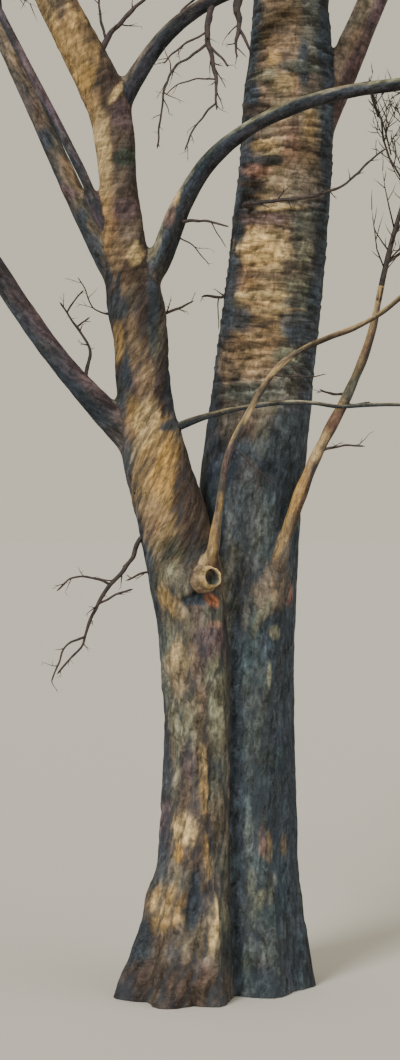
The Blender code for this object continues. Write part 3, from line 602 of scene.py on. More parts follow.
def smoothed(places: Rows, edges: Rows, weights: Rows, rounds: int) -> Rows:
    """Draws each vertex towards the middle of its neighbours.

    Args:
        places: the vertices.
        edges: the pairs that are joined.
        weights: how far each vertex goes, from 0 to 1.
        rounds: how many times.

    Returns:
        The new places.
    """
    count = len(places)
    ends = np.concatenate([edges[:, 0], edges[:, 1]])
    others = np.concatenate([edges[:, 1], edges[:, 0]])
    degree = np.maximum(np.bincount(ends, minlength=count), 1)
    for _ in range(rounds):
        middle = np.stack(
            [np.bincount(ends, weights=places[others, k], minlength=count) for k in range(3)], axis=1
        ) / degree[:, None]
        places = places + (middle - places) * weights[:, None]
    return places


def transported(line: Rows) -> tuple[Rows, Rows, Rows]:
    """Frames carried along a line without twist.

    Args:
        line: rows of points.

    Returns:
        The directions, and the two sideways unit vectors of each point.
    """
    ways = unit(np.gradient(line, axis=0))
    side = np.cross(ways[0], (0.0, 1.0, 0.0) if abs(ways[0][1]) < 0.9 else (1.0, 0.0, 0.0))
    sides = []
    for way in ways:
        side = side - way * side.dot(way)
        side /= np.linalg.norm(side)
        sides.append(side)
    sides = np.array(sides)
    return ways, sides, np.cross(ways, sides)


def new_mesh_object(name: str, mesh: Mesh) -> Thing:
    """Puts a mesh into the scene.

    Args:
        name: the object's name.
        mesh: what it shows.

    Returns:
        The object.
    """
    obj = bpy.data.objects.new(name, mesh)
    bpy.context.scene.collection.objects.link(obj)
    return obj


def curve_tube(name: str, line: Rows, radii: Rows, turns: int) -> Thing:
    """A closed tapering tube: a path with a round bevel and a radius at each point, made a mesh.

    Args:
        name: the object's name.
        line: the points that it follows.
        radii: its radius at each.
        turns: how finely the bevel is divided.

    Returns:
        The mesh object.
    """
    bpy.ops.object.select_all(action="DESELECT")
    bpy.ops.curve.primitive_nurbs_path_add()
    obj = bpy.context.active_object
    obj.name = name
    curve = obj.data
    curve.splines.clear()
    curve.bevel_depth, curve.bevel_resolution = 1.0, turns
    curve.use_fill_caps = True
    spline = curve.splines.new("POLY")
    spline.points.add(len(line) - 1)
    spline.points.foreach_set("co", np.hstack([line, np.ones((len(line), 1))]).ravel())
    spline.points.foreach_set("radius", radii)
    obj.location = (0, 0, 0)
    bpy.ops.object.convert(target="MESH")
    return bpy.context.active_object


class Sheaf:
    """Many tapering twigs that become one joined mesh."""

    def __init__(self) -> None:
        """Starts empty."""
        self.places: list[Rows] = []
        self.corners: list[Rows] = []
        self.sizes: list[Rows] = []
        self.tones: list[Rows] = []
        self.count = 0

    def add(self, lines: Rows, radii: Rows, tones: Rows, sides: int = 3) -> None:
        """Adds twigs that have the same number of points. Each ends in a point.

        Args:
            lines: the points, as twigs by points by 3.
            radii: the radius at each point.
            tones: each twig's material index.
            sides: how many sides a twig has.
        """
        twigs, knots, _ = lines.shape
        ways = unit(np.gradient(lines, axis=1))
        helper = np.where(np.abs(ways[:, :1, 2]) < 0.9, 1.0, 0.0)[..., None] * np.array([0.0, 0.0, 1.0])
        helper = helper[:, 0] + (1 - helper[:, 0, 2:]) * np.array([1.0, 0.0, 0.0])
        side = np.cross(ways[:, 0], helper)
        angles = math.tau * np.arange(sides) / sides
        rings = []
        for k in range(knots - 1):
            side = unit(side - ways[:, k] * (side * ways[:, k]).sum(1, keepdims=True))
            other = np.cross(ways[:, k], side)
            ring = side[:, None] * np.cos(angles)[:, None] + other[:, None] * np.sin(angles)[:, None]
            rings.append(lines[:, k, None] + ring * radii[:, k, None, None])
        body = np.concatenate([*rings, lines[:, -1:]], axis=1)
        own = body.shape[1]
        start = self.count + own * np.arange(twigs)[:, None]
        now, then = np.arange(sides), (np.arange(sides) + 1) % sides
        quads = np.concatenate([
            np.stack([k * sides + now, k * sides + then, (k + 1) * sides + then, (k + 1) * sides + now], 1)
            for k in range(knots - 2)
        ]) if knots > 2 else np.empty((0, 4), int)
        last = (knots - 2) * sides
        points = np.stack([last + now, last + then, np.full(sides, own - 1)], 1)
        pattern = np.concatenate([now[::-1], quads.ravel(), points.ravel()])
        sizes = np.concatenate([[sides], np.full(len(quads), 4), np.full(sides, 3)])
        self.places.append(body.reshape(-1, 3))
        self.corners.append((start + pattern).ravel())
        self.sizes.append(np.tile(sizes, twigs))
        self.tones.append(np.repeat(tones, len(sizes)))
        self.count += own * twigs

    def add_line(self, line: Rows, radii: Rows, tone: int, sides: int) -> None:
        """Adds one twig."""
        self.add(line[None], radii[None], np.array([tone]), sides)

    def build(self, name: str, materials: list[Material]) -> Thing:
        """Makes the joined mesh.

        Args:
            name: the object's name.
            materials: what the tones stand for.

        Returns:
            The object, smooth shaded.
        """
        places, corners = np.concatenate(self.places), np.concatenate(self.corners)
        sizes, tones = np.concatenate(self.sizes), np.concatenate(self.tones)
        mesh = bpy.data.meshes.new(name)
        mesh.vertices.add(len(places))
        mesh.vertices.foreach_set("co", places.astype(np.float32).ravel())
        mesh.loops.add(len(corners))
        mesh.loops.foreach_set("vertex_index", corners.astype(np.int32))
        mesh.polygons.add(len(sizes))
        mesh.polygons.foreach_set("loop_start", (np.cumsum(sizes) - sizes).astype(np.int32))
        for material in materials:
            mesh.materials.append(material)
        mesh.polygons.foreach_set("material_index", tones.astype(np.int32))
        mesh.polygons.foreach_set("use_smooth", np.ones(len(sizes), bool))
        mesh.update(calc_edges=True)
        return new_mesh_object(name, mesh)


# ---- Finishes ----
class Wiring:
    """A material's node tree, wired by short calls."""

    def __init__(self, name: str) -> None:
        """Makes the material and keeps its shader.

        Args:
            name: the material's name.
        """
        self.material = bpy.data.materials.new(name)
        self.material.use_nodes = True
        self.tree = self.material.node_tree
        self.shader = self.tree.nodes["Principled BSDF"]

    def node(self, kind: str, inputs: dict | None = None, **settings: object) -> bpy.types.Node:
        """A new node.

        Args:
            kind: its type's name.
            inputs: what its sockets get: another node's socket, or a constant.
            settings: its own settings.

        Returns:
            The node.
        """
        made = self.tree.nodes.new(kind)
        for key, value in settings.items():
            setattr(made, key, value)
        for key, value in (inputs or {}).items():
            if isinstance(value, Socket):
                self.tree.links.new(value, made.inputs[key])
            else:
                made.inputs[key].default_value = value
        return made

    def kept(self, name: str, output: str) -> Socket:
        """What the mesh keeps under a name."""
        return self.node("ShaderNodeAttribute", attribute_name=name).outputs[output]

    def noise(self, vector: Socket, scale: Triple, detail: float,
              distortion: float = 0.0) -> Socket:
        """Noise stretched along the axes.

        Args:
            vector: the place that it is read at.
            scale: how fine it is along each axis.
            detail: how many layers it has.
            distortion: how much it is warped.

        Returns:
            Its value.
        """
        mapped = self.node("ShaderNodeMapping", {"Vector": vector, "Scale": scale}).outputs[0]
        return self.node(
            "ShaderNodeTexNoise",
            {"Vector": mapped, "Scale": 1.0, "Detail": detail, "Roughness": 0.6, "Distortion": distortion},
        ).outputs[0]

    def spread(self, value: Socket, low: float, high: float, to_low: float,
               to_high: float) -> Socket:
        """Carries a value from one range to another, and holds it there.

        Args:
            value: the value.
            low: the first range's low end.
            high: its high end.
            to_low: what the low end becomes.
            to_high: what the high end becomes.

        Returns:
            The new value.
        """
        return self.node("ShaderNodeMapRange", {
            "Value": value, "From Min": low, "From Max": high, "To Min": to_low, "To Max": to_high,
        }).outputs[0]

    def sum(self, operation: str, first: object, second: object) -> Socket:
        """A sum of two numbers."""
        return self.node("ShaderNodeMath", {0: first, 1: second}, operation=operation).outputs[0]

    def mix(self, share: object, first: object, second: object) -> Socket:
        """A share of the way from one number to another."""
        return self.node("ShaderNodeMix", {0: share, 2: first, 3: second}, data_type="FLOAT").outputs[0]

    def blend(self, share: object, first: object, second: object, how: str = "MIX") -> Socket:
        """Blends two colours.

        Args:
            share: how much of the blend shows.
            first: the colour below.
            second: the colour above.
            how: the way that they blend.

        Returns:
            The new colour.
        """
        return self.node(
            "ShaderNodeMix", {0: share, 6: first, 7: second}, data_type="RGBA", blend_type=how
        ).outputs[2]

    def surface(self, name: str, value: object) -> None:
        """Wires or sets one of the shader's sockets.

        Args:
            name: the socket.
            value: what it is wired from or set to.
        """
        if isinstance(value, Socket):
            self.tree.links.new(value, self.shader.inputs[name])
        else:
            self.shader.inputs[name].default_value = value


@dataclass(frozen=True)
class BarkFinish:
    """Bark that takes its tint from the mesh and adds strokes, rings, flecks and cracks along the grain, the
    cracks darkened as painted shade.
    """

    name: str
    stroke: Triple = (52, 52, 19)  # strokes to a metre, across the grain both ways and along it
    ring: Triple = (11, 11, 62)
    dab: Triple = (34, 34, 26)
    speck: Triple = (190, 190, 120)
    contrast: float = 1.0
    bump: float = 0.0042
    fleck: Triple = SAGE.value

    def material(self) -> Material:
        """Wires the bark: strokes, bands, dabs, specks and painted shade in the creases.

        Returns:
            The material.
        """
        wiring = Wiring(self.name)
        grain, tint = wiring.kept("grain", "Vector"), wiring.kept("tint", "Color")
        banded, crease = wiring.kept("banded", "Fac"), wiring.kept("crease", "Fac")
        strokes = wiring.noise(grain, self.stroke, 6, 0.5)
        rings = wiring.noise(grain, self.ring, 6, 0.6)
        brush = wiring.mix(banded, strokes, rings)
        dabs = wiring.noise(grain, self.dab, 4, 1.4)
        light = wiring.spread(brush, 0.36, 0.66, 1 - 0.52 * self.contrast, 1 + 0.62 * self.contrast)
        patchy = wiring.spread(dabs, 0.34, 0.66, 1 - 0.42 * self.contrast, 1 + 0.48 * self.contrast)
        shade = wiring.sum("MULTIPLY", light, patchy)
        grey = wiring.node("ShaderNodeCombineXYZ", {0: shade, 1: shade, 2: shade}).outputs[0]
        colour = wiring.blend(1.0, tint, grey, "MULTIPLY")
        specks = wiring.noise(grain, self.speck, 3)
        pale = wiring.spread(specks, 0.60, 0.70, 0.0, 0.40)
        colour = wiring.blend(pale, colour, (*self.fleck, 1.0))
        dark = wiring.spread(specks, 0.40, 0.30, 0.0, 0.55)
        colour = wiring.blend(dark, colour, (*UMBER.value, 1.0), "MULTIPLY")
        # Painted shade: the deeper in a crack, the nearer the colour goes to slate.
        crack = wiring.spread(crease, 0.15, 1.0, 0.0, 0.80)
        colour = wiring.blend(crack, colour, (*SLATE.value, 1.0))
        height = wiring.sum("ADD", brush, wiring.sum("MULTIPLY", specks, 0.35))
        wiring.surface("Normal", wiring.node(
            "ShaderNodeBump", {"Height": height, "Distance": self.bump, "Strength": 0.8}).outputs[0])
        wiring.surface("Base Color", colour)
        wiring.surface("Roughness", wiring.spread(brush, 0.3, 0.7, 0.96, 0.80))
        wiring.surface("Specular IOR Level", 0.28)
        return wiring.material


@dataclass(frozen=True)
class TwigFinish:
    """The thin bark of young twigs, one of a few tones that are dealt out by spray."""

    name: str
    colour: Triple
    darker: Triple
    roughness: float = 0.72

    def material(self) -> Material:
        """Wires the bark: mottled between two tones.

        Returns:
            The material.
        """
        wiring = Wiring(self.name)
        place = wiring.node("ShaderNodeTexCoord").outputs["Object"]
        mottle = wiring.noise(place, (55, 55, 55), 4)
        share = wiring.spread(mottle, 0.38, 0.62, 0.0, 1.0)
        wiring.surface("Base Color", wiring.blend(share, (*self.colour, 1.0), (*self.darker, 1.0)))
        wiring.surface("Roughness", self.roughness)
        wiring.surface("Specular IOR Level", 0.3)
        wiring.surface("Normal", wiring.node(
            "ShaderNodeBump", {"Height": mottle, "Distance": 0.0015, "Strength": 0.5}).outputs[0])
        return wiring.material


@dataclass(frozen=True)
class FloorFinish:
    """The plain pale floor."""

    name: str = "pale_floor"
    colour: Triple = (0.515, 0.495, 0.445)

    def material(self) -> Material:
        """Sets the floor's plain finish.

        Returns:
            The material.
        """
        wiring = Wiring(self.name)
        wiring.surface("Base Color", (*self.colour, 1.0))
        wiring.surface("Roughness", 0.95)
        wiring.surface("Specular IOR Level", 0.1)
        return wiring.material


# ---- The skeleton: courses, room and the rule that twigs grow by ----
class Room:
    """Where the limbs and the stems of the masses run, to tell whether a twig has space."""

    def __init__(self) -> None:
        """Starts with nothing in the way."""
        self.limbs: list[tuple] = []
        self.stems: list[tuple] = []

    @staticmethod
    def chain(points: list[Vector], radii: list[float], owner: str) -> tuple:
        """Segment starts, segment vectors and the larger radius of each, with their owner."""
        places = np.array([tuple(point) for point in points])
        return places[:-1], places[1:] - places[:-1], np.maximum(radii[:-1], radii[1:]), owner

    def add(self, points: list[Vector], radii: list[float], owner: str, is_stem: bool) -> None:
        """Notes a limb, or the stem of a mass."""
        (self.stems if is_stem else self.limbs).append(self.chain(points, radii, owner))

    @staticmethod
    def away(samples: Rows, chain: tuple) -> Rows:
        """How far samples are from a chain's surface.

        Args:
            samples: rows of points.
            chain: a limb or a stem, as chain gives it.

        Returns:
            A distance for each row.
        """
        starts, ways, thick, _ = chain
        off = samples[:, None, :] - starts[None]
        share = np.clip((off * ways).sum(2) / (ways * ways).sum(1), 0, 1)
        gap = np.linalg.norm(off - share[..., None] * ways, axis=2) - thick
        return gap.min(1)

    def fits(self, points: list[Vector], owner: str, near: str) -> bool:
        """Whether a twig of a mass stays in its own space, clear of every limb but near's.

        Args:
            points: the twig's points.
            owner: the mass.
            near: the limb that its first part may touch.

        Returns:
            True where it fits.
        """
        places = np.array([tuple(point) for point in points])
        samples = np.concatenate([
            places[:-1] + (places[1:] - places[:-1]) * share for share in (0.25, 0.5, 0.75, 1.0)
        ])
        own = min(self.away(samples, chain) for chain in self.stems if chain[3] == owner)
        for chain in self.limbs:
            outer = samples if chain[3] != near else samples[len(places) - 1:]
            if (self.away(outer, chain) < TWIG_ROOM).any():
                return False
        return all(
            (self.away(samples, chain) > own + MASS_ROOM).all()
            for chain in self.stems if chain[3] != owner
        )

    def clear(self, samples: Rows, margin: float) -> Rows:
        """Which samples are clear of every limb.

        Args:
            samples: rows of points.
            margin: how far from a limb they have to be.

        Returns:
            True for each row that is.
        """
        gaps = np.full(len(samples), np.inf)
        low, high = samples.min(0) - 0.3, samples.max(0) + 0.3
        for chain in self.limbs:
            ends = np.vstack([chain[0], chain[0] + chain[1]])
            if (ends.max(0) > low).all() and (ends.min(0) < high).all():
                gaps = np.minimum(gaps, self.away(samples, chain))
        return gaps > margin


def branch_heading(parent_way: Vector, around: float, spread: float) -> Vector:
    """Finds the direction of a branch.

    Args:
        parent_way: the direction that it leaves.
        around: how far round that it is turned, in degrees.
        spread: how far it leans out, in degrees.

    Returns:
        Its direction.
    """
    side = parent_way.orthogonal().normalized()
    side.rotate(Matrix.Rotation(math.radians(around), 3, parent_way))
    return (parent_way * math.cos(math.radians(spread)) + side * math.sin(math.radians(spread))).normalized()


def twig_points(start: Vector, way: Vector, length: float, segments: int, lift: float) -> list[Vector]:
    """Lays a twig that leaves along a way and turns up to the light.

    Args:
        start: where it begins.
        way: its first direction.
        length: its length.
        segments: how many straight parts it has.
        lift: how strongly it turns up.

    Returns:
        Its points.
    """
    points = [start]
    for _ in range(segments):
        way = (way + Vector((0, 0, lift / segments))).normalized()
        points.append(points[-1] + way * length / segments)
    return points


def point_on(points: list[Vector], radii: list[float], share: float) -> tuple[Vector, Vector, float]:
    """Finds a place on a row of points.

    Args:
        points: the row.
        radii: the radius at each point.
        share: the share of its length to go.

    Returns:
        The point, direction and radius there.
    """
    lengths = [(after - before).length for before, after in zip(points, points[1:])]
    left = share * sum(lengths)
    index = 0
    while index < len(lengths) - 1 and left > lengths[index]:
        left -= lengths[index]
        index += 1
    part = left / lengths[index]
    way = (points[index + 1] - points[index]).normalized()
    radius = radii[index] * (1 - part) + radii[index + 1] * part
    return points[index].lerp(points[index + 1], part), way, radius


def thinned(points: list[Vector], radii: list[float]) -> Stalk:
    """Leaves out points of a mass's stem, as its solid does.

    Args:
        points: all of them.
        radii: the radius at each.

    Returns:
        Those that are kept.
    """
    stride = max(1, round(MASS_STEP / (points[2] - points[1]).length)) if len(points) > 3 else 1
    kept = [0, 1, *range(1 + stride, len(points) - 1, stride), len(points) - 1]
    return [points[i] for i in kept], [radii[i] for i in kept]


@dataclass
class Mass:
    """One mass of twigs: the course that its stem follows, and what has grown on it."""

    name: str
    course: Course
    start: float
    stem: Stalk


class Skeleton:
    """The courses of all limbs, the room between them and the stems of the masses."""

    def __init__(self) -> None:
        """Lays out every course, in the order of the solids."""
        self.room = Room()
        left = Course(LEFT_AXIS, LEFT_FOOT, TRUNK_STEP, SPARSE_FROM)
        right = Course(RIGHT_AXIS, RIGHT_FOOT, TRUNK_STEP, SPARSE_FROM)
        self.courses = {"left_axis": left, "right_axis": right}
        left_parts = [left.middle_near(along) for along in (LEFT_CROTCH, LEFT_FORK, LEFT_AXIS.bare)]
        right_parts = [right.middle_near(along) for along in (RIGHT_CROTCH, RIGHT_AXIS.bare)]
        self.room.add(*left.piece(0, left_parts[0]), "trunk", is_stem=False)
        self.room.add(*right.piece(0, right_parts[0]), "trunk", is_stem=False)
        self.room.add(*left.piece(*left_parts[:2]), "left_stem", is_stem=False)
        self.room.add(*left.piece(*left_parts[1:]), "centre_stem", is_stem=False)
        self.room.add(*right.piece(*right_parts), "right_stem", is_stem=False)
        self.masses: list[Mass] = []
        self.note_mass("centre_twigs", left, left_parts[2])
        self.note_mass("right_twigs", right, right_parts[1])
        self.tips: dict[str, float] = {"left_axis": left_parts[2], "right_axis": right_parts[1]}
        for limb in (*BOUGHS, *CROWN):
            course = self.lay(limb, self.step_of(limb))
            self.tips[limb.name] = tip = course.middle_near(limb.bare)
            self.room.add(*course.piece(0.0, tip), limb.name, is_stem=False)
            self.note_mass(limb.name + "_twigs", course, tip)
        for limb in TWIGS:
            course = self.lay(limb, TWIG_STEP)
            self.room.add(course.points, course.radii, TWIG_NODES[limb.name], is_stem=False)
        for limb in SPRAYS:
            course = self.lay(limb, CROWN_STEP)
            self.masses.append(Mass(limb.name, course, 0.0, (course.points, course.radii)))
        for mass in self.masses:
            self.room.add(*mass.stem, mass.name, is_stem=True)

    @staticmethod
    def step_of(limb: Limb) -> float:
        """Finds how far apart a limb's points lie: closer where it is bent more.

        Args:
            limb: the limb.

        Returns:
            The distance.
        """
        if limb in CROWN:
            return CROWN_STEP
        return SHOOT_STEP if limb.sides < 8 else LIMB_STEP

    def lay(self, limb: Limb, step: float) -> Course:
        """Lays a limb's course from its parent's.

        Args:
            limb: the limb.
            step: how far apart its points lie.

        Returns:
            The course.
        """
        start, _, _ = self.courses[limb.parent].at(limb.leaves_at)
        self.courses[limb.name] = Course(limb, start, step)
        return self.courses[limb.name]

    def note_mass(self, name: str, course: Course, tip: float) -> None:
        """Notes the mass that grows on from a limb's tip."""
        stem = thinned(*course.piece(tip, course.along[-1], trim_start=GAP))
        self.masses.append(Mass(name, course, tip, stem))

    def grow_twig(self, owner: str, seed: str, stem: Stalk, share: float,
                  around: float, spread: float, length: float, segments: int) -> Stalk | None:
        """One twig off a stem, or None where neither it nor a shorter one has room.

        Args:
            owner: the mass.
            seed: what its chances come from.
            stem: the points and radii that it grows from.
            share: how far up the stem.
            around: how far round it, in degrees.
            spread: how far from it, in degrees.
            length: its length before chance.
            segments: how many segments it has.

        Returns:
            Its points and radii, or None.
        """
        chance = random.Random(seed)
        start, way, radius = point_on(*stem, share)
        way = branch_heading(way, around + chance.uniform(-24, 24), spread + chance.uniform(-9, 9))
        length *= chance.uniform(0.82, 1.18)
        root = max(THINNEST, TWIG_THICKNESS * radius)
        for reach in (length, length * SHORTER_TRY):
            points = twig_points(start, way, reach, segments, TWIG_LIFT)
            if points[-1].z > 0.3 and self.room.fits(points, owner, near=owner):
                radii = [root + (THINNEST - root) * k / segments for k in range(segments + 1)]
                return points, radii
        return None

    def grow_mass(self, mass: Mass) -> list[tuple[int, list[Vector], list[float]]]:
        """The twigs of one mass by the solids' rule: side twigs in a spiral, each with finer ones.

        Args:
            mass: the mass.

        Returns:
            The side twig that each belongs to, its points and its radii.
        """
        points, _ = mass.stem
        length = sum((b - a).length for a, b in zip(points, points[1:]))
        twigs = []
        count = min(SIDE_TWIGS[1], max(SIDE_TWIGS[0], round(length / SIDE_PACE)))
        for index in range(count):
            share = SIDE_FIRST + (SIDE_LAST - SIDE_FIRST) * index / (count - 1)
            reach = SIDE_REACH * length * (1 - SIDE_SHORTENING * share)
            side = self.grow_twig(mass.name, f"{mass.name}.{index}", mass.stem, share,
                                  index * GOLDEN_ANGLE, SIDE_SPREAD, reach, 2)
            if side is None:
                continue
            twigs.append((index, *side))
            for finer in range(FINE_TWIGS):
                fine_share = 0.36 + 0.34 * finer
                fine_reach = FINE_REACH * reach * (1 - 0.3 * finer)
                fine = self.grow_twig(mass.name, f"{mass.name}.{index}.{finer}", side, fine_share,
                                      180 * finer + 40 * index, FINE_SPREAD, fine_reach, 1)
                if fine is not None:
                    twigs.append((index, *fine))
        return twigs


# ---- Bark: where a vertex lies on the limbs, how the bark stands there and its tint ----
@dataclass(frozen=True)
class Habit:
    """How one limb's bark lies: the turn of its grain, its peeling bands, and the tones of its sides, on a
    bough a painted highlight on top and painted shade beneath.
    """

    twist: float = 3.5  # radians to a metre
    twist_from: float = 0.0  # along the limb, where the twist begins
    bands: float = 0.0  # how deep they are, in metres
    bands_from: float = 0.0  # the height that they begin at
    cracks: float = 0.004
    # On a bough, upper is a painted highlight on the side towards the painted light, under is painted shade
    # on the side away, and middle lies between; on a stem, under and middle are two bark tones mottled at
    # random.
    upper: Tone = SAGE
    middle: Tone = GREY_BROWN
    under: Tone = SLATE
    upright: bool = False  # a stem, which has coats round it in place of a painted lit side and a painted shaded side


@dataclass(frozen=True)
class Coat:
    """A broad run of one tone up one side of a stem. Some are bark tones; others are painted shade down a
    stem's edges and a painted highlight down its face.
    """

    limb: str
    low: float
    high: float
    bearing: float
    spread: float
    tone: Tone
    strength: float


@dataclass(frozen=True)
class Patch:
    """A dab of one tone on the bark, which may swell or sink, in centimetres across and up the front. Some
    are bark tones, some painted shade in hollows and crotches, some painted highlights on rises and lit
    edges.
    """

    limb: str
    across: float
    up: float
    width: float
    height: float
    tone: Tone
    strength: float
    lean: float = 0.0  # degrees that it leans to the right
    swell: float = 0.0  # millimetres outwards


# On each bough the upper tone is a painted highlight and the under tone painted shade.
HABITS = {
    "left_axis": Habit(twist=-6.5, twist_from=1.70, bands=0.0022, bands_from=2.75, cracks=0.0080,
                       upright=True, middle=GREY_BROWN, under=UMBER),
    "right_axis": Habit(twist=-0.4, bands=0.0060, bands_from=2.30, cracks=0.0075, upright=True,
                        middle=STEEL, under=SLATE),
    "low_left_bough": Habit(twist=4.0, upper=SAGE, middle=PURPLE),
    "outer_left_bough": Habit(twist=2.0, upper=TAN, middle=GREY_BROWN),
    "inner_left_bough": Habit(twist=2.0, upper=TAN, middle=PURPLE),
    "arching_bough": Habit(twist=3.0, upper=GREY_BROWN, middle=INK, under=INK),
    "crossing_bough": Habit(twist=3.0, upper=SAGE, middle=SLATE, under=INK),
    "right_high_bough": Habit(twist=1.0, bands=0.002, upper=GREY_BROWN, under=PURPLE),
    "right_leader": Habit(twist=0.5, bands=0.004, upper=TAN, middle=GREY_BROWN),
    "knot_shoot": Habit(twist=2.0, cracks=0.0008, upper=OCHRE, middle=GREY_BROWN, under=UMBER),
    "right_side_shoot": Habit(twist=2.0, cracks=0.0012, upper=OCHRE, middle=TAN, under=UMBER),
    "cross_twig": Habit(twist=2.0, cracks=0.0005, upper=SAGE, middle=UMBER),
}
CROWN_HABIT = Habit(twist=2.0, bands=0.002, upper=TAN, middle=GREY_BROWN)

# The slate runs near the stems' edges, as seen from the front and from the back, are painted shade; the ochre
# and tan runs down the middle of their front and back are partly a painted highlight; the rest are bark
# tones.
COATS_WITH_PAINTED_LIGHT = tuple(Coat(limb, *row) for limb, rows in {
    "left_axis": (
        (-0.2, 1.9, 258, 40, GREY_BROWN, 0.7), (1, 1.75, 235, 24, SAGE, 0.45),
        (-0.2, 1.9, 190, 26, SLATE, 0.88), (-0.2, 1.6, 322, 26, GREY_GREEN, 0.55),
        (-0.2, 0.16, 250, 90, UMBER, 0.8), (1.75, 2.36, 258, 40, OCHRE, 0.85), (1.8, 2.3, 226, 20, TAN, 0.6),
        (1.75, 2.8, 190, 34, SLATE, 0.88), (1.6, 2.46, 322, 36, UMBER, 0.88),
        (2.05, 3.4, 346, 26, SLATE, 0.85), (2.4, 2.86, 270, 80, UMBER, 0.75),
        (2.46, 2.9, 250, 26, GREY_BROWN, 0.6), (2.9, 7.5, 226, 36, TAN, 0.85),
        (2.9, 7.5, 214, 24, OCHRE, 0.5), (2.8, 7.5, 312, 48, UMBER, 0.85), (-0.2, 7.5, 84, 46, TAN, 0.55),
        (-0.2, 7.5, 140, 24, SLATE, 0.6), (-0.2, 7.5, 30, 24, UMBER, 0.6),
    ),
    "right_axis": (
        (-0.2, 2.42, 222, 16, SLATE, 0.92), (0.1, 1.95, 276, 24, GREY_GREEN, 0.55),
        (1.4, 2.15, 262, 14, GREY_BROWN, 0.3), (-0.2, 2.42, 326, 28, SLATE, 0.9),
        (2.2, 9.5, 262, 60, GREY_BROWN, 0.85), (2.5, 3.1, 248, 30, OCHRE, 0.55),
        (3.1, 9.5, 250, 34, TAN, 0.6), (2.25, 9.5, 300, 16, GREY_GREEN, 0.6),
        (2.2, 9.5, 193, 25, SLATE, 0.92), (2.2, 9.5, 338, 22, SLATE, 0.92), (2.3, 9.5, 96, 46, TAN, 0.7),
        (-0.2, 2.35, 100, 40, GREY_GREEN, 0.55), (-0.2, 9.5, 150, 18, SLATE, 0.8),
        (-0.2, 9.5, 38, 22, SLATE, 0.8),
    ),
}.items() for row in rows)

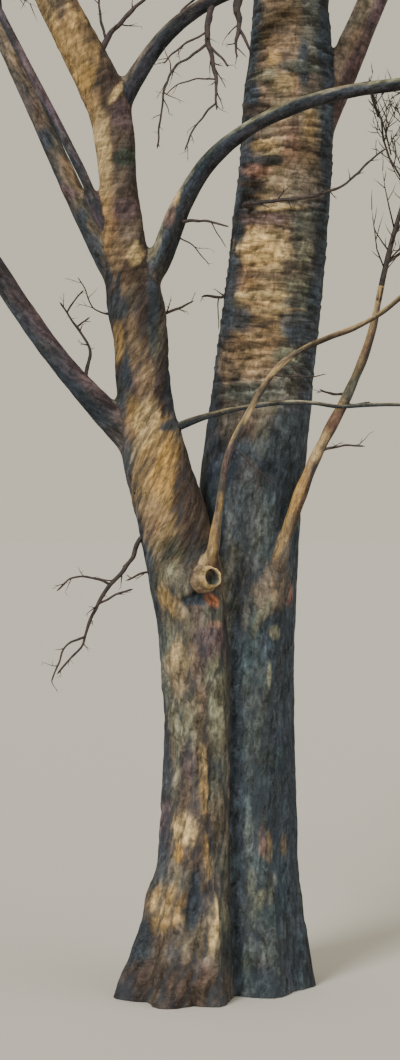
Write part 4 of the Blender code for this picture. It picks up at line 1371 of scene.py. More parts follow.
PATCHES_WITH_PAINTED_LIGHT = tuple(Patch(limb, *row) for limb, rows in {
    "left_axis": (
        # The foot: the bossed left root, its cleft with painted shade sunk in it, and the ridge beside it;
        # the cream dabs on its swellings are painted highlights
        (-20, 33, 6.5, 7.5, OCHRE, 0.85, 0, 16), (-20.8, 34, 3, 3.5, CREAM, 0.55),
        (-8, 36, 2.3, 11, SLATE, 0.95, 5, -16), (-15.6, 92, 1.2, 6.5, SAGE, 0.65),
        (-10.6, 92, 2.4, 8, PURPLE, 0.8, 0, -4), (-20, 70, 1.6, 8, PURPLE, 0.7),
        (-0.6, 26.4, 1.7, 8.5, CREAM, 0.75, 4, 9), (2.6, 30, 1.2, 7, SAGE, 0.5),
        (-22, 5, 12, 6, UMBER, 0.75), (-11.6, 64, 4.6, 5.2, CREAM, 0.9, 0, 7),
        (-14.6, 55, 1.5, 3.2, GOLD, 0.8), (-4.6, 82, 1.5, 11, OCHRE, 0.85, -4, 8),
        (-4.8, 92, 1.4, 5.5, CREAM, 0.65), (-3.6, 56, 1.4, 9, OCHRE, 0.6, -8, 4),
        # The long plate below the old wound, and what lies beside it
        (-14.5, 118, 5.4, 19, SAGE, 0.55, -10, 8), (-14.5, 126, 3.4, 10, TAN, 0.6, -10),
        (-13, 134, 4, 5, CREAM, 0.3), (-1, 139, 6, 6, PURPLE, 0.85, 0, 5), (0, 146.5, 2.4, 1.2, ROSE, 0.6),
        # the slate dab here, sunk under the old wound's stub, is painted shade
        (1, 116, 3.2, 17, SAGE, 0.7, 0, 3), (-6, 157, 6.8, 2.3, SLATE, 0.96, -14, -22),
        (-0.4, 155.5, 1.8, 2.4, ORANGE, 0.7), (-18, 155, 2.6, 6.5, OCHRE, 0.7, -32, 4),
        # The golden front of the left stem, its gold partly the bark's tone and partly a painted highlight,
        # with the slate dabs sunk beside it painted shade
        (-13, 177, 9, 4.6, MOSS, 0.8), (-22.8, 208, 8, 17, OCHRE, 0.8, 8),
        (-27.4, 228, 4, 8, CREAM, 0.75, 8), (-19.6, 208, 4.2, 9, GOLD, 0.75, 12),
        (-24, 188, 5.2, 8, TAN, 0.6), (-10.5, 196, 5.6, 20, UMBER, 0.88),
        (-17.5, 226, 4, 1.8, SLATE, 0.9, -20), (-42, 239, 4, 5, MOSS, 0.95, 0, -5),
        (-29, 243, 5, 4.5, PURPLE, 0.7), (-39, 260, 2, 8, OCHRE, 0.85), (-35.6, 247.6, 2.2, 6, SLATE, 0.85),
        (-24, 261, 2.6, 7, SAGE, 0.6), (-39, 281.5, 0.8, 6, SLATE, 0.9, 8),
        (-46.5, 289, 4, 7.5, SLATE, 0.88, -20), (-31, 252, 2.6, 15, TAN, 0.7, -10),
        (-26.5, 246, 1.8, 12, TAN, 0.65, -6), (-24.5, 272, 2.2, 14, SLATE, 0.85),
        (-40.5, 273, 5, 5, SLATE, 0.85, 0, -6), (-39, 294, 3, 6, TAN, 0.75),
        (-30.6, 297, 0.8, 5, UMBER, 0.85, 40), (-34, 306, 4, 4, GREY_BROWN, 0.8),
        (-34.5, 318, 4, 5, UMBER, 0.75), (-32, 294.5, 2.6, 4, CREAM, 0.9, 0, 4),
        (-45, 334, 2.8, 15, CREAM, 0.7), (-40.5, 358, 1.3, 4.6, CREAM, 0.85, 38),
        (-53, 365, 2.6, 3.6, CREAM, 0.6), (-52, 366, 3.6, 5, GOLD, 0.75), (-56, 379, 9, 12, OCHRE, 0.8),
        (-50, 383, 3, 5, UMBER, 0.55, -24), (-36.5, 350, 4, 5, PURPLE, 0.85), (-46, 340, 2.6, 4, CREAM, 0.7),
        (-36, 333, 4.4, 3, MOSS, 0.8), (-35.5, 312, 5, 4, PURPLE, 0.8),
    ),
    "outer_left_bough": (
        (-49, 296, 3.4, 8, SLATE, 0.85, -20), (-53.6, 307.6, 2.4, 5, SLATE, 0.9),
        (-59.6, 318.8, 4, 2.8, PURPLE, 0.9, 0, 3), (-68.4, 339, 2.8, 4.6, SLATE, 0.88),
        (-57, 325, 1.4, 8, TAN, 0.7, -28),
    ),
    "crossing_bough": (
        (-15.8, 318, 1.6, 3.5, CREAM, 0.85), (-18.5, 311, 2.2, 4.5, ROSE, 0.45),
        # the thin cream and tan streaks are a painted highlight along the bough's top edge
        (24, 354.6, 9, 1, CREAM, 0.85, -22), (46, 361.8, 12, 1.1, TAN, 0.75, -8),
        (-2, 336, 9, 0.9, GREY_GREEN, 0.8, -48),
    ),
    "knot_shoot": (
        # the cream dabs are painted highlights on the shoot's lit side
        (-2.6, 171, 3.2, 4.4, TAN, 0.85), (-4.6, 172, 1.4, 3.6, CREAM, 0.6),
        (-1.6, 168.5, 2, 1.4, ROSE, 0.6), (-1, 179, 1.4, 6, GOLD, 0.75), (-1.4, 178, 0.7, 3.6, CREAM, 0.7),
        (1.4, 182, 1, 8, GREY_BROWN, 0.75), (2.6, 192, 1.2, 6, OCHRE, 0.7), (6, 210, 3, 8, PURPLE, 0.75),
        (13.6, 231.5, 2.2, 4.5, CREAM, 0.75, 30), (27, 249, 7, 1.2, CREAM, 0.55, -30),
    ),
    "right_side_shoot": (
        (23, 168, 5, 8, GREY_BROWN, 0.85, 20), (27, 180, 1.6, 8, OCHRE, 0.7, 20),
        # the cream dab is a painted highlight on the shoot's lit side
        (33, 199, 1.8, 9, GOLD, 0.6, 24), (42.5, 218, 1.8, 6, CREAM, 0.75, 28),
        (47.5, 227, 1.8, 4, ROSE, 0.6, 28), (55, 241, 2.4, 5, GREY_GREEN, 0.8, 28),
    ),
    "right_axis": (
        # The peeling upper part of the right stem, its cream dabs partly painted highlights and its slate
        # dabs partly painted shade
        (20, 297, 8.5, 5.5, CREAM, 0.8), (18, 295, 7, 5, GOLD, 0.4), (19, 286, 10, 1.4, UMBER, 0.7),
        (19, 278, 8.5, 1.7, CREAM, 0.85), (22, 272, 11, 1.2, CREAM, 0.85), (20, 262, 9, 1.2, TAN, 0.85, 14),
        (9.5, 269, 5.5, 4.6, SLATE, 0.85), (32, 268, 5.5, 4.6, SLATE, 0.6), (4, 251, 2.5, 7, TAN, 0.6),
        (19, 266, 6, 1.1, UMBER, 0.8, -14), (16, 328, 4.4, 2.6, ROSE, 0.8), (20, 338, 5, 2.6, OCHRE, 0.7),
        (20, 365.6, 4.5, 2.2, SAGE, 0.6), (23.6, 372.8, 2.2, 2.8, OCHRE, 0.85),
        (27.5, 363, 4, 3, CREAM, 0.6), (36.6, 324, 5.5, 10, GREY_BROWN, 0.8), (36.5, 340, 5, 10, TAN, 0.55),
        (38, 346, 2, 6, OCHRE, 0.5), (30, 384, 6, 5, GREY_BROWN, 0.55), (32, 345, 1.3, 6, UMBER, 0.8),
        # the slate dab at 44 across, in the crotch of the right high bough, is painted shade
        (35.5, 371, 2.4, 9, SLATE, 0.85), (44, 377, 2.8, 11, SLATE, 0.9),
        (33, 369.5, 7, 2.4, GREY_GREEN, 0.75), (14.5, 357.5, 3, 4.6, SLATE, 0.88),
        (26.4, 379, 6, 2.6, TAN, 0.7), (13.6, 321.6, 5, 3, SLATE, 0.8), (44.6, 335, 2, 14, SLATE, 0.85),
        (22.8, 385, 5, 1.5, UMBER, 0.8), (36, 295.6, 3, 4, SAGE, 0.5), (33.6, 282, 3, 2.2, SAGE, 0.5),
        (15, 251, 7, 5.5, TAN, 0.75), (15, 239, 9, 3.6, GREY_GREEN, 0.8), (28, 254, 5, 2.6, SAGE, 0.65),
        (20, 258.5, 12, 1.2, UMBER, 0.55, 0, -4), (33, 262, 4.5, 4, SLATE, 0.85),
        (14, 314, 6.5, 2.6, SLATE, 0.8, 0, -4), (20, 308.5, 10, 2.2, PURPLE, 0.75),
        # the thin cream streak is a painted highlight, the lit top of the twig that crosses in front
        (24, 313, 9, 0.9, CREAM, 0.75), (15, 322.5, 6, 1.3, UMBER, 0.85), (20, 332, 9, 1.6, SLATE, 0.8),
        (30, 338, 3, 7, ROSE, 0.45), (16, 352, 7, 2, UMBER, 0.8),
        # The dark lower part of the right stem
        (30, 218, 7, 13, SLATE, 0.9), (19, 222, 2.6, 7, SAGE, 0.45), (12, 190, 5, 14, STEEL, 0.75),
        (26, 222, 8, 8, STEEL, 0.6), (24, 143, 1.8, 2.6, SAGE, 0.8), (21.6, 126, 0.7, 4.5, SAGE, 0.65),
        (22, 57, 1.1, 5, OCHRE, 0.65), (19, 59, 1.1, 5, ROSE, 0.55), (28, 58, 1.1, 4, OCHRE, 0.6),
        (19.6, 37, 3.4, 3, SAGE, 0.55), (22.8, 42.5, 1.5, 4, SAGE, 0.45), (14.4, 42, 1.5, 5, SAGE, 0.45),
        (29.6, 158, 1.2, 3.6, ORANGE, 0.6), (23, 161, 6, 9, GREY_BROWN, 0.85, 24),
        (19.5, 151, 1.6, 8, SAGE, 0.6, 26), (25.5, 166, 1.6, 7, TAN, 0.7, 16),
        (8.6, 84, 2.6, 70, SLATE, 0.9, 0, -7), (30.5, 92, 3.4, 60, SLATE, 0.8),
    ),
}.items() for row in rows)


@dataclass
class Spots:
    """Where the vertices of a mesh lie on the limbs."""

    names: tuple[str, ...]
    limb: Rows
    along: Rows
    radius: Rows
    bearing: Rows
    grain: Rows
    joint: Rows
    places: Rows
    normals: Rows  # before a mesh is dressed, the ways out of the limbs' axes

    def on(self, name: str) -> Rows:
        """Which vertices lie on a limb."""
        return self.limb == self.names.index(name)


class BarkField:
    """The bark over all limbs: it finds where vertices lie, lifts them and tints them."""

    LINE_STEP = 0.04
    BATCH = 2_000_000  # pairs of vertices and segments that are weighed at once
    REACH = 0.16  # beyond a limb's surface, no vertex is its own
    JOINT_WIDTH = 0.055
    BACK_LIFT = 0.07  # how much higher the patches lie on the far side
    BAND_PACE, FULL_BANDS = 0.046, 0.004  # a band's height, and how deep the boldest are
    # How fine the bark's noises are, across and along the grain
    FURROWS, ROLLS, GRIT = (17, 17, 3.4), (28, 28, 11), (60, 60, 30)
    MOTTLING, BREAKS, WARMTH, REDNESS = (9, 9, 4), (26, 26, 13), (7, 7, 5), (12, 12, 7)
    BENDS, RIPPLES, BAND_BREAKS, BAND_FRAYS = (4, 4, 5), (13, 13, 7), (9, 9, 3.7), (24, 24, 20)
    LUMPS, FRAYS = 4.5, 22  # and through space
    BAND_BEND, BAND_RIPPLE = 0.040, 0.014
    LUMP_RISE, ROLL_RISE, GRIT_RISE = 0.006, 0.0028, 0.0012
    NARROWNESS = 2.6  # of the cracks
    FULL_SIZE, CRACKED_SIZE = 0.10, 0.07  # how thick a limb is whose lumps and whose cracks are whole
    JOINT_EASE = 0.7
    AGES, AGED = (0.0, 1.2, 2.5, 5.0), (1.0, 0.9, 0.65, 0.5)  # how cracked the bark is at which heights
    WARMER, REDDER = (0.24, 0.02, -0.24), (0.12, -0.07, 0.06)
    DARKEST, PALEST = 0.012, 0.8
    PAINTED_LIGHT_WAY = (-0.30, -0.16, 0.94)  # the way that the painted light comes from: the side of a bough that is painted pale
    VIEW_DISTANCE, VIEW_ACROSS, VIEW_UP = 9.0, -0.06, 1.84
    ROOTS = (("right_side_shoot", 0.42), ("crossing_bough", 0.12),
             ("low_left_bough", 0.20), ("outer_left_bough", 0.16), ("right_high_bough", 0.24))

    def __init__(self, skeleton: Skeleton, names: tuple[str, ...]) -> None:
        """Lays a fine line and its frames along each limb.

        Args:
            skeleton: what holds the courses.
            names: the limbs.
        """
        self.names = names
        self.habits = [HABITS.get(name, CROWN_HABIT) for name in names]
        self.parents = [skeleton.courses[name].limb.parent for name in names]
        self.lines = []
        for name in names:
            course = skeleton.courses[name]
            line, radii, along = course.smooth(0.0, course.along[-1], self.LINE_STEP)
            _, sides, others = transported(line)
            self.lines.append((line, radii, along, sides, others))
        self.coarse, self.middle, self.fine, self.rough = (Noise(seed) for seed in (11, 23, 37, 53))

    @staticmethod
    def nearest(points: Rows, line: Rows, radii: Rows) -> tuple[Rows, Rows, Rows, Rows]:
        """Finds the place on a limb's line that is nearest to each point.

        Args:
            points: the points.
            line: the points of the line.
            radii: the limb's radius at each.

        Returns:
            How far each point is from the limb's surface, the index of the segment that it lies
            beside, the share of the way along that, and the radius there.
        """
        ways, every = np.diff(line, axis=0), np.arange(len(points))
        off = points[:, None] - line[None, :-1]
        share = np.clip((off * ways).sum(2) / (ways * ways).sum(1), 0, 1)
        gap = ((off - share[..., None] * ways) ** 2).sum(2)
        spot = gap.argmin(1)
        part = share[every, spot]
        thick = radii[spot] * (1 - part) + radii[spot + 1] * part
        return np.sqrt(gap[every, spot]) - thick, spot, part, thick

    def locate(self, places: Rows) -> Spots:
        """Finds where each vertex lies.

        Args:
            places: the vertices.

        Returns:
            Where they lie.
        """
        count = len(places)
        best, second = np.full(count, np.inf), np.full(count, np.inf)
        limb, along, radius = np.zeros(count, int), np.zeros(count), np.full(count, 0.05)
        turn, out = np.zeros(count), np.zeros((count, 3))
        for index, (line, radii, distances, sides, others) in enumerate(self.lines):
            reach = radii.max() + self.REACH
            near = np.flatnonzero(((places > line.min(0) - reach) & (places < line.max(0) + reach)).all(1))
            for batch in np.array_split(near, max(1, len(near) * len(line) // self.BATCH)):
                if not len(batch):
                    continue
                gap, spot, part, thick = self.nearest(places[batch], line, radii)
                closer = gap < best[batch]
                second[batch] = np.where(closer, best[batch], np.minimum(second[batch], gap))
                mine, at, part = batch[closer], spot[closer], part[closer]
                best[mine], limb[mine], radius[mine] = gap[closer], index, thick[closer]
                along[mine] = distances[at] * (1 - part) + distances[at + 1] * part
                away = places[mine] - (line[at] * (1 - part)[:, None] + line[at + 1] * part[:, None])
                out[mine] = away
                turn[mine] = np.arctan2((away * others[at]).sum(1), (away * sides[at]).sum(1))
        twist, begins = self.habit("twist", limb), self.habit("twist_from", limb)
        angle = turn + twist * (np.maximum(along - begins, 0) + 0.12 * np.minimum(along, begins))
        grain = np.stack([radius * np.cos(angle), radius * np.sin(angle), along], 1)
        grain += limb[:, None] * np.array([3.1, 1.7, 5.3])
        joint = 1 - ramp(second - best, 0.0, self.JOINT_WIDTH)
        bearing = np.degrees(np.arctan2(out[:, 1], out[:, 0])) % 360
        return Spots(self.names, limb, along, radius, bearing, grain, joint, places, out)

    def habit(self, key: str, limb: Rows) -> Rows:
        """What the habit of each vertex's limb says under a key."""
        return np.array([getattr(habit, key) for habit in self.habits])[limb]

    def patch_weight(self, patch: Patch, spots: Spots, broken: Rows) -> Rows:
        """How strongly a patch covers each vertex: on the front, and again on the far side.

        Args:
            patch: the patch.
            spots: the vertices.
            broken: noise that frays its edge.

        Returns:
            The weights, from 0 to 1.
        """
        places = spots.places
        weight = np.zeros(len(places))
        lean = math.radians(patch.lean)
        on = spots.on(patch.limb)
        for side, lift in ((1, 0.0), (-1, self.BACK_LIFT)):
            scale = self.VIEW_DISTANCE / (self.VIEW_DISTANCE + side * places[:, 1])
            across = (places[:, 0] - self.VIEW_ACROSS) * scale + self.VIEW_ACROSS - patch.across / 100
            up = (places[:, 2] - self.VIEW_UP) * scale + self.VIEW_UP - patch.up / 100 - lift
            wide = (across * math.cos(lean) - up * math.sin(lean)) / (patch.width / 100)
            tall = (across * math.sin(lean) + up * math.cos(lean)) / (patch.height / 100)
            cover = np.exp(-0.5 * (wide ** 2 + tall ** 2))
            facing = ramp(-side * spots.normals[:, 1], -0.05, 0.30)
            weight = np.maximum(weight, ramp(1.35 * cover + 0.34 * broken, 0.38, 1.0) * facing * on)
        return weight

    def bands(self, spots: Spots) -> tuple[Rows, Rows]:
        """The peeling bands round the limbs.

        Args:
            spots: the vertices.

        Returns:
            How far up its own band each vertex is, and how well the band shows there, from 0 to 1.
        """
        grain = spots.grain
        warped = grain[:, 2] + self.BAND_BEND * self.coarse.at(grain * self.BENDS)
        warped = warped + self.BAND_RIPPLE * self.middle.layered(grain * self.RIPPLES, 2)
        count = warped / self.BAND_PACE
        floor = np.floor(count)
        rows = np.stack([grain[:, 0], grain[:, 1], floor], 1) * self.BAND_BREAKS
        shows = ramp(self.coarse.at(rows) + 0.3 * self.fine.at(grain * self.BAND_FRAYS), -0.20, 0.16)
        return count - floor, shows

    def relief(self, spots: Spots) -> tuple[Rows, Rows]:
        """How far the bark stands out of the limb, and how deep in a crack each vertex is.

        Args:
            spots: the vertices.

        Returns:
            The heights in metres, and the depths in a crack from 0 to 1, which the bark darkens as painted
            shade.
        """
        grain, places = spots.grain, spots.places
        height = places[:, 2]
        depth, bands = self.habit("cracks", spots.limb), self.habit("bands", spots.limb)
        banding = self.banding(spots)
        ridges = 1 - np.abs(self.rough.layered(grain * self.FURROWS, 3)) * self.NARROWNESS
        crack = np.clip(ridges, 0, 1) ** 3 * (1 - 0.75 * banding)
        size = np.minimum(1.0, spots.radius / self.FULL_SIZE)
        old = np.interp(height, self.AGES, self.AGED)
        lift = self.LUMP_RISE * size * self.coarse.layered(places * self.LUMPS, 2)
        lift += self.ROLL_RISE * size * self.middle.layered(grain * self.ROLLS, 2)
        lift += self.GRIT_RISE * size * self.fine.layered(grain * self.GRIT, 2)
        lift -= depth * old * crack * np.minimum(1.0, spots.radius / self.CRACKED_SIZE)
        share, shows = self.bands(spots)
        lift += bands * (banding > 0) * banding * shows * (share ** 2 - 0.3) * size
        lift *= 1 - self.JOINT_EASE * spots.joint
        broken = self.fine.layered(places * self.FRAYS, 2)
        for patch in PATCHES_WITH_PAINTED_LIGHT:
            if patch.swell:
                lift += patch.swell / 1000 * self.patch_weight(patch, spots, 0.4 * broken)
        return lift, np.clip(crack * old, 0, 1)

    def banding(self, spots: Spots) -> Rows:
        """Finds how banded the bark is.

        Args:
            spots: where the vertices lie.

        Returns:
            The banding at each, from 0 to 1.
        """
        begins, bands = self.habit("bands_from", spots.limb), self.habit("bands", spots.limb)
        begun = ramp(spots.places[:, 2], begins - 0.12, begins + 0.16)
        return np.minimum(1.0, bands / self.FULL_BANDS) * begun

    def tint(self, spots: Spots) -> Rows:
        """The tint of each vertex, linear, with painted light and shade on the boughs' sides, down the stems'
        edges, in the patches and across the bands.

        Args:
            spots: the vertices.

        Returns:
            The colours, as rows.
        """
        grain, places = spots.grain, spots.places
        mottle = self.middle.layered(grain * self.MOTTLING, 3)
        broken = self.fine.layered(grain * self.BREAKS, 2)
        # Painted light: a bough is paler on its side towards the painted light's way, and painted shade
        # darkens its far side.
        painted_light = spots.normals @ unit(np.array(self.PAINTED_LIGHT_WAY)) + 0.30 * mottle
        colour = np.zeros((len(places), 3))
        for index, habit in enumerate(self.habits):
            on = spots.limb == index
            if habit.upright:
                share = ramp(mottle[on], -0.35, 0.35)[:, None]
                colour[on] = np.array(habit.under.value) * (1 - share) + np.array(habit.middle.value) * share
                continue
            low, high = ramp(painted_light[on], -0.18, 0.38)[:, None], ramp(painted_light[on], 0.34, 0.78)[:, None]
            body = np.array(habit.under.value) * (1 - low) + np.array(habit.middle.value) * low
            colour[on] = body * (1 - high) + np.array(habit.upper.value) * high
        for name, reach in self.ROOTS:
            index = self.names.index(name)
            past = ramp(spots.along + 0.05 * mottle, reach - 0.16, reach + 0.10)
            share = (1 - past) * (spots.limb == index)
            parent = np.array(self.habits[self.names.index(self.parents[index])].middle.value)
            colour += (parent - colour) * 0.9 * share[:, None]
        height = places[:, 2]
        # Coats, among them painted shade down the stems' edges and a painted highlight down their faces.
        for coat in COATS_WITH_PAINTED_LIGHT:
            off = (spots.bearing - coat.bearing + 180) % 360 - 180
            cover = np.exp(-0.5 * (off / coat.spread) ** 2)
            cover = cover * ramp(height, coat.low - 0.1, coat.low + 0.1)
            cover = cover * ramp(-height, -coat.high - 0.1, 0.1 - coat.high)
            share = ramp(1.3 * cover + 0.42 * mottle, 0.30, 1.05) * coat.strength * spots.on(coat.limb)
            colour += (np.array(coat.tone.value) - colour) * share[:, None]
        share, shows = self.bands(spots)
        banded = self.banding(spots) * shows
        warmth = self.coarse.layered(grain * self.WARMTH + 40, 3)[:, None]
        redness = self.rough.layered(grain * self.REDNESS + 80, 3)[:, None]
        colour *= np.exp(0.9 * mottle + 0.5 * broken)[:, None]
        colour *= 1 + warmth * np.array(self.WARMER) + redness * np.array(self.REDDER)
        shade = np.exp(0.35 * mottle + 0.5 * broken)[:, None]
        # Patches, among them painted shade in hollows and crotches and painted highlights on rises and lit
        # edges.
        for patch in PATCHES_WITH_PAINTED_LIGHT:
            cover = self.patch_weight(patch, spots, broken) * patch.strength
            colour += (np.array(patch.tone.value) * shade - colour) * cover[:, None]
        # Painted shade and highlight that follow the bands' relief: each band is darker where it sinks at its
        # foot and paler at its raised top.
        colour *= (1 + banded * (1.15 * ramp(share, 0.10, 0.95) ** 1.3 - 0.62))[:, None]
        return np.clip(colour, self.DARKEST, self.PALEST)

    def dress(self, mesh: Mesh, spots: Spots) -> None:
        """Lifts a mesh's bark and keeps its grain, its tint with the painted light and shade in it, its bands
        and the cracks' painted shade on it.

        Args:
            mesh: the mesh.
            spots: where its vertices lie on the limbs.
        """
        spots.places, spots.normals = points_of(mesh), rows_of(mesh.vertex_normals, "vector")
        lift, crease = self.relief(spots)
        put(mesh, "tint", self.tint(spots), "FLOAT_COLOR")
        put(mesh, "grain", spots.grain, "FLOAT_VECTOR")
        put(mesh, "banded", self.banding(spots))
        put(mesh, "crease", crease)
        move_points(mesh, spots.places + spots.normals * lift[:, None])


# ---- Timber: the trunk, the stems and the boughs ----
def finish_piece(obj: Thing, nodes: tuple[str, ...] | list[str]) -> None:
    """Attaches a finished piece to what it rides on, hides the solids that it stands for, and reports it.

    Args:
        obj: the piece.
        nodes: the solids that it stands for.
    """
    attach(obj, BODY)
    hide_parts(*nodes)
    triangles = sum(len(face.vertices) - 2 for face in obj.data.polygons)
    LOG.info("%s: %d triangles, for %d nodes", obj.name, triangles, len(nodes))


@dataclass
class Timber:
    """The trunk, stems and boughs as one skin of bark, in three pieces."""

    skeleton: Skeleton
    field: BarkField
    fine: float = 0.0083  # the skin's mesh, where it is seen close
    coarse: float = 0.0115  # and in the crown
    crown_from: float = 4.10
    overlap: float = 0.05
    trunk_top: float = 1.985  # the height that the trunk's piece ends at
    stems_top: float = 3.05  # and the lower stems'
    seam_rounds: int = 26  # how long the joints are eased
    axes: tuple[str, str] = ("left_axis", "right_axis")
    # the shoots' feet in the skin: how far each runs, its rings' step and how swollen it is
    shoot_feet: tuple[tuple[str, float, float, float], ...] = (
        ("knot_shoot", 0.30, 0.03, 1.30), ("right_side_shoot", 0.44, 0.03, 1.22),
        ("cross_twig", 0.15, 0.01, 1.15),
    )
    shoot_end: float = 0.90  # the share of its radius that each foot ends at
    low_boughs: tuple[str, ...] = ("low_left_bough", "outer_left_bough", "inner_left_bough",
                                   "arching_bough", "crossing_bough", "right_high_bough")
    trace_top: float = 1.66
    trace_length: float = 0.34

    def limb(self, name: str, start: float, end: float, step: float = 0.03, turns: int = 12,
             share: float = 1.0, end_share: float = 1.0) -> Thing:
        """One limb's tube.

        Args:
            name: the limb.
            start: where it begins, along its course.
            end: where it ends.
            step: between its rings.
            turns: how finely it is divided round.
            share: of its radius, at its beginning.
            end_share: and at its end.

        Returns:
            The tube.
        """
        line, radii, _ = self.skeleton.courses[name].smooth(start, end, step)
        shares = np.linspace(share, end_share, len(line))
        return curve_tube(name + "_tube", line, radii * shares, turns)

    def trace(self) -> Thing:
        """Shapes the swelling that the side shoot's root leaves down the right stem.

        Returns:
            The tube.
        """
        course = self.skeleton.courses["right_axis"]
        shares = np.linspace(0, 1, 10)
        line = []
        for share in shares:
            centre, _, radius = course.at(self.trace_top - self.trace_length * share)
            line.append(tuple(centre + heading(300 - 8 * share, 0) * (radius - 0.012 - 0.045 * share)))
        radii = np.interp(shares, (0, 0.4, 1), (0.050, 0.056, 0.020))
        return curve_tube("trace_tube", np.array(line), radii, 12)

    def foot(self, name: str, top: float, flare: float,
             buttresses: tuple[Triple, ...]) -> Thing:
        """A stem from below the ground up, swollen into its root flare.

        Args:
            name: the stem's axis.
            top: where it ends.
            flare: how far the boldest buttress stands out.
            buttresses: their bearings, strengths and spreads.

        Returns:
            The tube.
        """
        line, radii, _ = self.skeleton.courses[name].smooth(0.0, top, 0.02)
        down = np.array([line[0] - (0, 0, BELOW_GROUND), line[0] - (0, 0, 0.5 * BELOW_GROUND)])
        obj = curve_tube(name + "_tube", np.vstack([down, line]), np.concatenate([radii[[0, 0]], radii]), 30)
        places = points_of(obj.data)
        height = np.clip(places[:, 2], 0, None)
        centre = np.stack([np.interp(height, line[:, 2], line[:, k]) for k in (0, 1)], 1)
        out = places[:, :2] - centre
        angle = np.arctan2(out[:, 1], out[:, 0])
        ridge = np.zeros(len(places))
        for bearing, strength, spread in buttresses:
            off = (np.degrees(angle) - bearing + 180) % 360 - 180
            ridge = np.maximum(ridge, strength * np.exp(-((off / spread) ** 2)))
        share = np.clip(1 - height / FLARE_HEIGHT, 0, 1) ** FLARE_POWER
        flute = FLUTE_DEPTH * np.clip(1 - height / FLUTE_HEIGHT, 0, 1) * np.cos(5 * angle + buttresses[0][0])
        swell = (flare * share * (FLARE_FLOOR + (1 - FLARE_FLOOR) * ridge) + flute) * (height < FLUTE_HEIGHT)
        places[:, :2] += unit(out) * swell[:, None]
        move_points(obj.data, places)
        return obj

    def collar(self) -> Thing:
        """Shapes the swollen stub under the old wound's rim.

        Returns:
            The tube.
        """
        centre, _, _ = self.skeleton.courses["left_axis"].at(KNOT_HEIGHT)
        way = heading(KNOT_BEARING, KNOT_CLIMB)
        shares = np.linspace(0, 1, 8)
        line = np.array([tuple(centre + way * (0.04 + (KNOT_REACH - 0.088) * share)) for share in shares])
        radii = np.interp(shares, (0, 0.6, 1), (KNOT_RADII[0] + 0.018, KNOT_RADII[0], KNOT_RADII[1] + 0.004))
        return curve_tube("collar_tube", line, radii, 12)

    def skin(self, name: str, tubes: list[Thing], voxel: float) -> Thing:
        """Joins tubes, remeshes them as one skin, eases the joints and raises the bark.

        Args:
            name: the object's name.
            tubes: what it is made of.
            voxel: how fine its mesh is.

        Returns:
            The object.
        """
        select_only(*tubes)
        bpy.ops.object.join()
        obj = bpy.context.active_object
        obj.name = obj.data.name = name
        remesh = obj.modifiers.new("one_skin", "REMESH")
        remesh.mode, remesh.voxel_size, remesh.use_smooth_shade = "VOXEL", voxel, True
        apply_modifiers(obj)
        mesh = obj.data
        edges, places = rows_of(mesh.edges, "vertices", 2, int), points_of(mesh)
        places = smoothed(places, edges, np.full(len(places), 0.5), 2)
        spots = self.field.locate(places)
        places = smoothed(places, edges, 0.65 * spots.joint, self.seam_rounds)
        move_points(mesh, places)
        self.field.dress(mesh, spots)
        return obj

    def low_skin(self) -> Thing:
        """Shapes the skin of all that is thick below the crown.

        Returns:
            The skin.
        """
        tips, top = self.skeleton.tips, self.crown_from + self.overlap
        tops = {name: self.height_along(name, top) for name in self.axes}
        tubes = [
            self.foot("left_axis", tops["left_axis"], LEFT_FLARE, LEFT_BUTTRESSES),
            self.foot("right_axis", tops["right_axis"], RIGHT_FLARE, RIGHT_BUTTRESSES),
            self.collar(),
            *(self.limb(name, 0.0, reach, step, share=swell, end_share=self.shoot_end)
              for name, reach, step, swell in self.shoot_feet),
            self.trace(),
            *(self.limb(limb.name, 0.0, tips[limb.name] + 0.02) for limb in BOUGHS
              if limb.name in self.low_boughs),
        ]
        return self.skin("low_skin", tubes, self.fine)

    def height_along(self, name: str, height: float) -> float:
        """How far along a stem a height is reached."""
        line, _, along = self.skeleton.courses[name].smooth(0.0, self.skeleton.courses[name].along[-1], 0.02)
        return float(np.interp(height, line[:, 2], along))

    def high_skin(self) -> Thing:
        """Shapes the skin of the stems and boughs in the crown.

        Returns:
            The skin.
        """
        tips = self.skeleton.tips
        low = {name: self.height_along(name, self.crown_from) for name in self.axes}
        tubes = [
            *(self.limb(name, low[name], tips[name] + 0.02, step=0.06) for name in low),
            self.limb("right_leader", 0.0, tips["right_leader"] + 0.02, step=0.06),
            *(self.limb(limb.name, 0.0, tips[limb.name] + 0.02, step=0.06) for limb in CROWN),
        ]
        return self.skin("high_skin", tubes, self.coarse)

    @staticmethod
    def keep_normals(mesh: Mesh) -> None:
        """Notes each vertex's normal, for pieces that are cut apart to still shade as one."""
        put(mesh, "whole_normal", rows_of(mesh.vertex_normals, "vector"), "FLOAT_VECTOR")

    @staticmethod
    def use_normals(mesh: Mesh) -> None:
        """Shades a mesh by the normals that were noted.

        Args:
            mesh: the mesh.
        """
        kept = mesh.attributes["whole_normal"]
        rows = np.empty(len(mesh.vertices) * 3, np.float32)
        kept.data.foreach_get("vector", rows)
        mesh.attributes.remove(kept)
        mesh.polygons.foreach_set("use_smooth", np.ones(len(mesh.polygons), bool))
        mesh.normals_split_custom_set_from_vertices(rows.reshape(-1, 3))

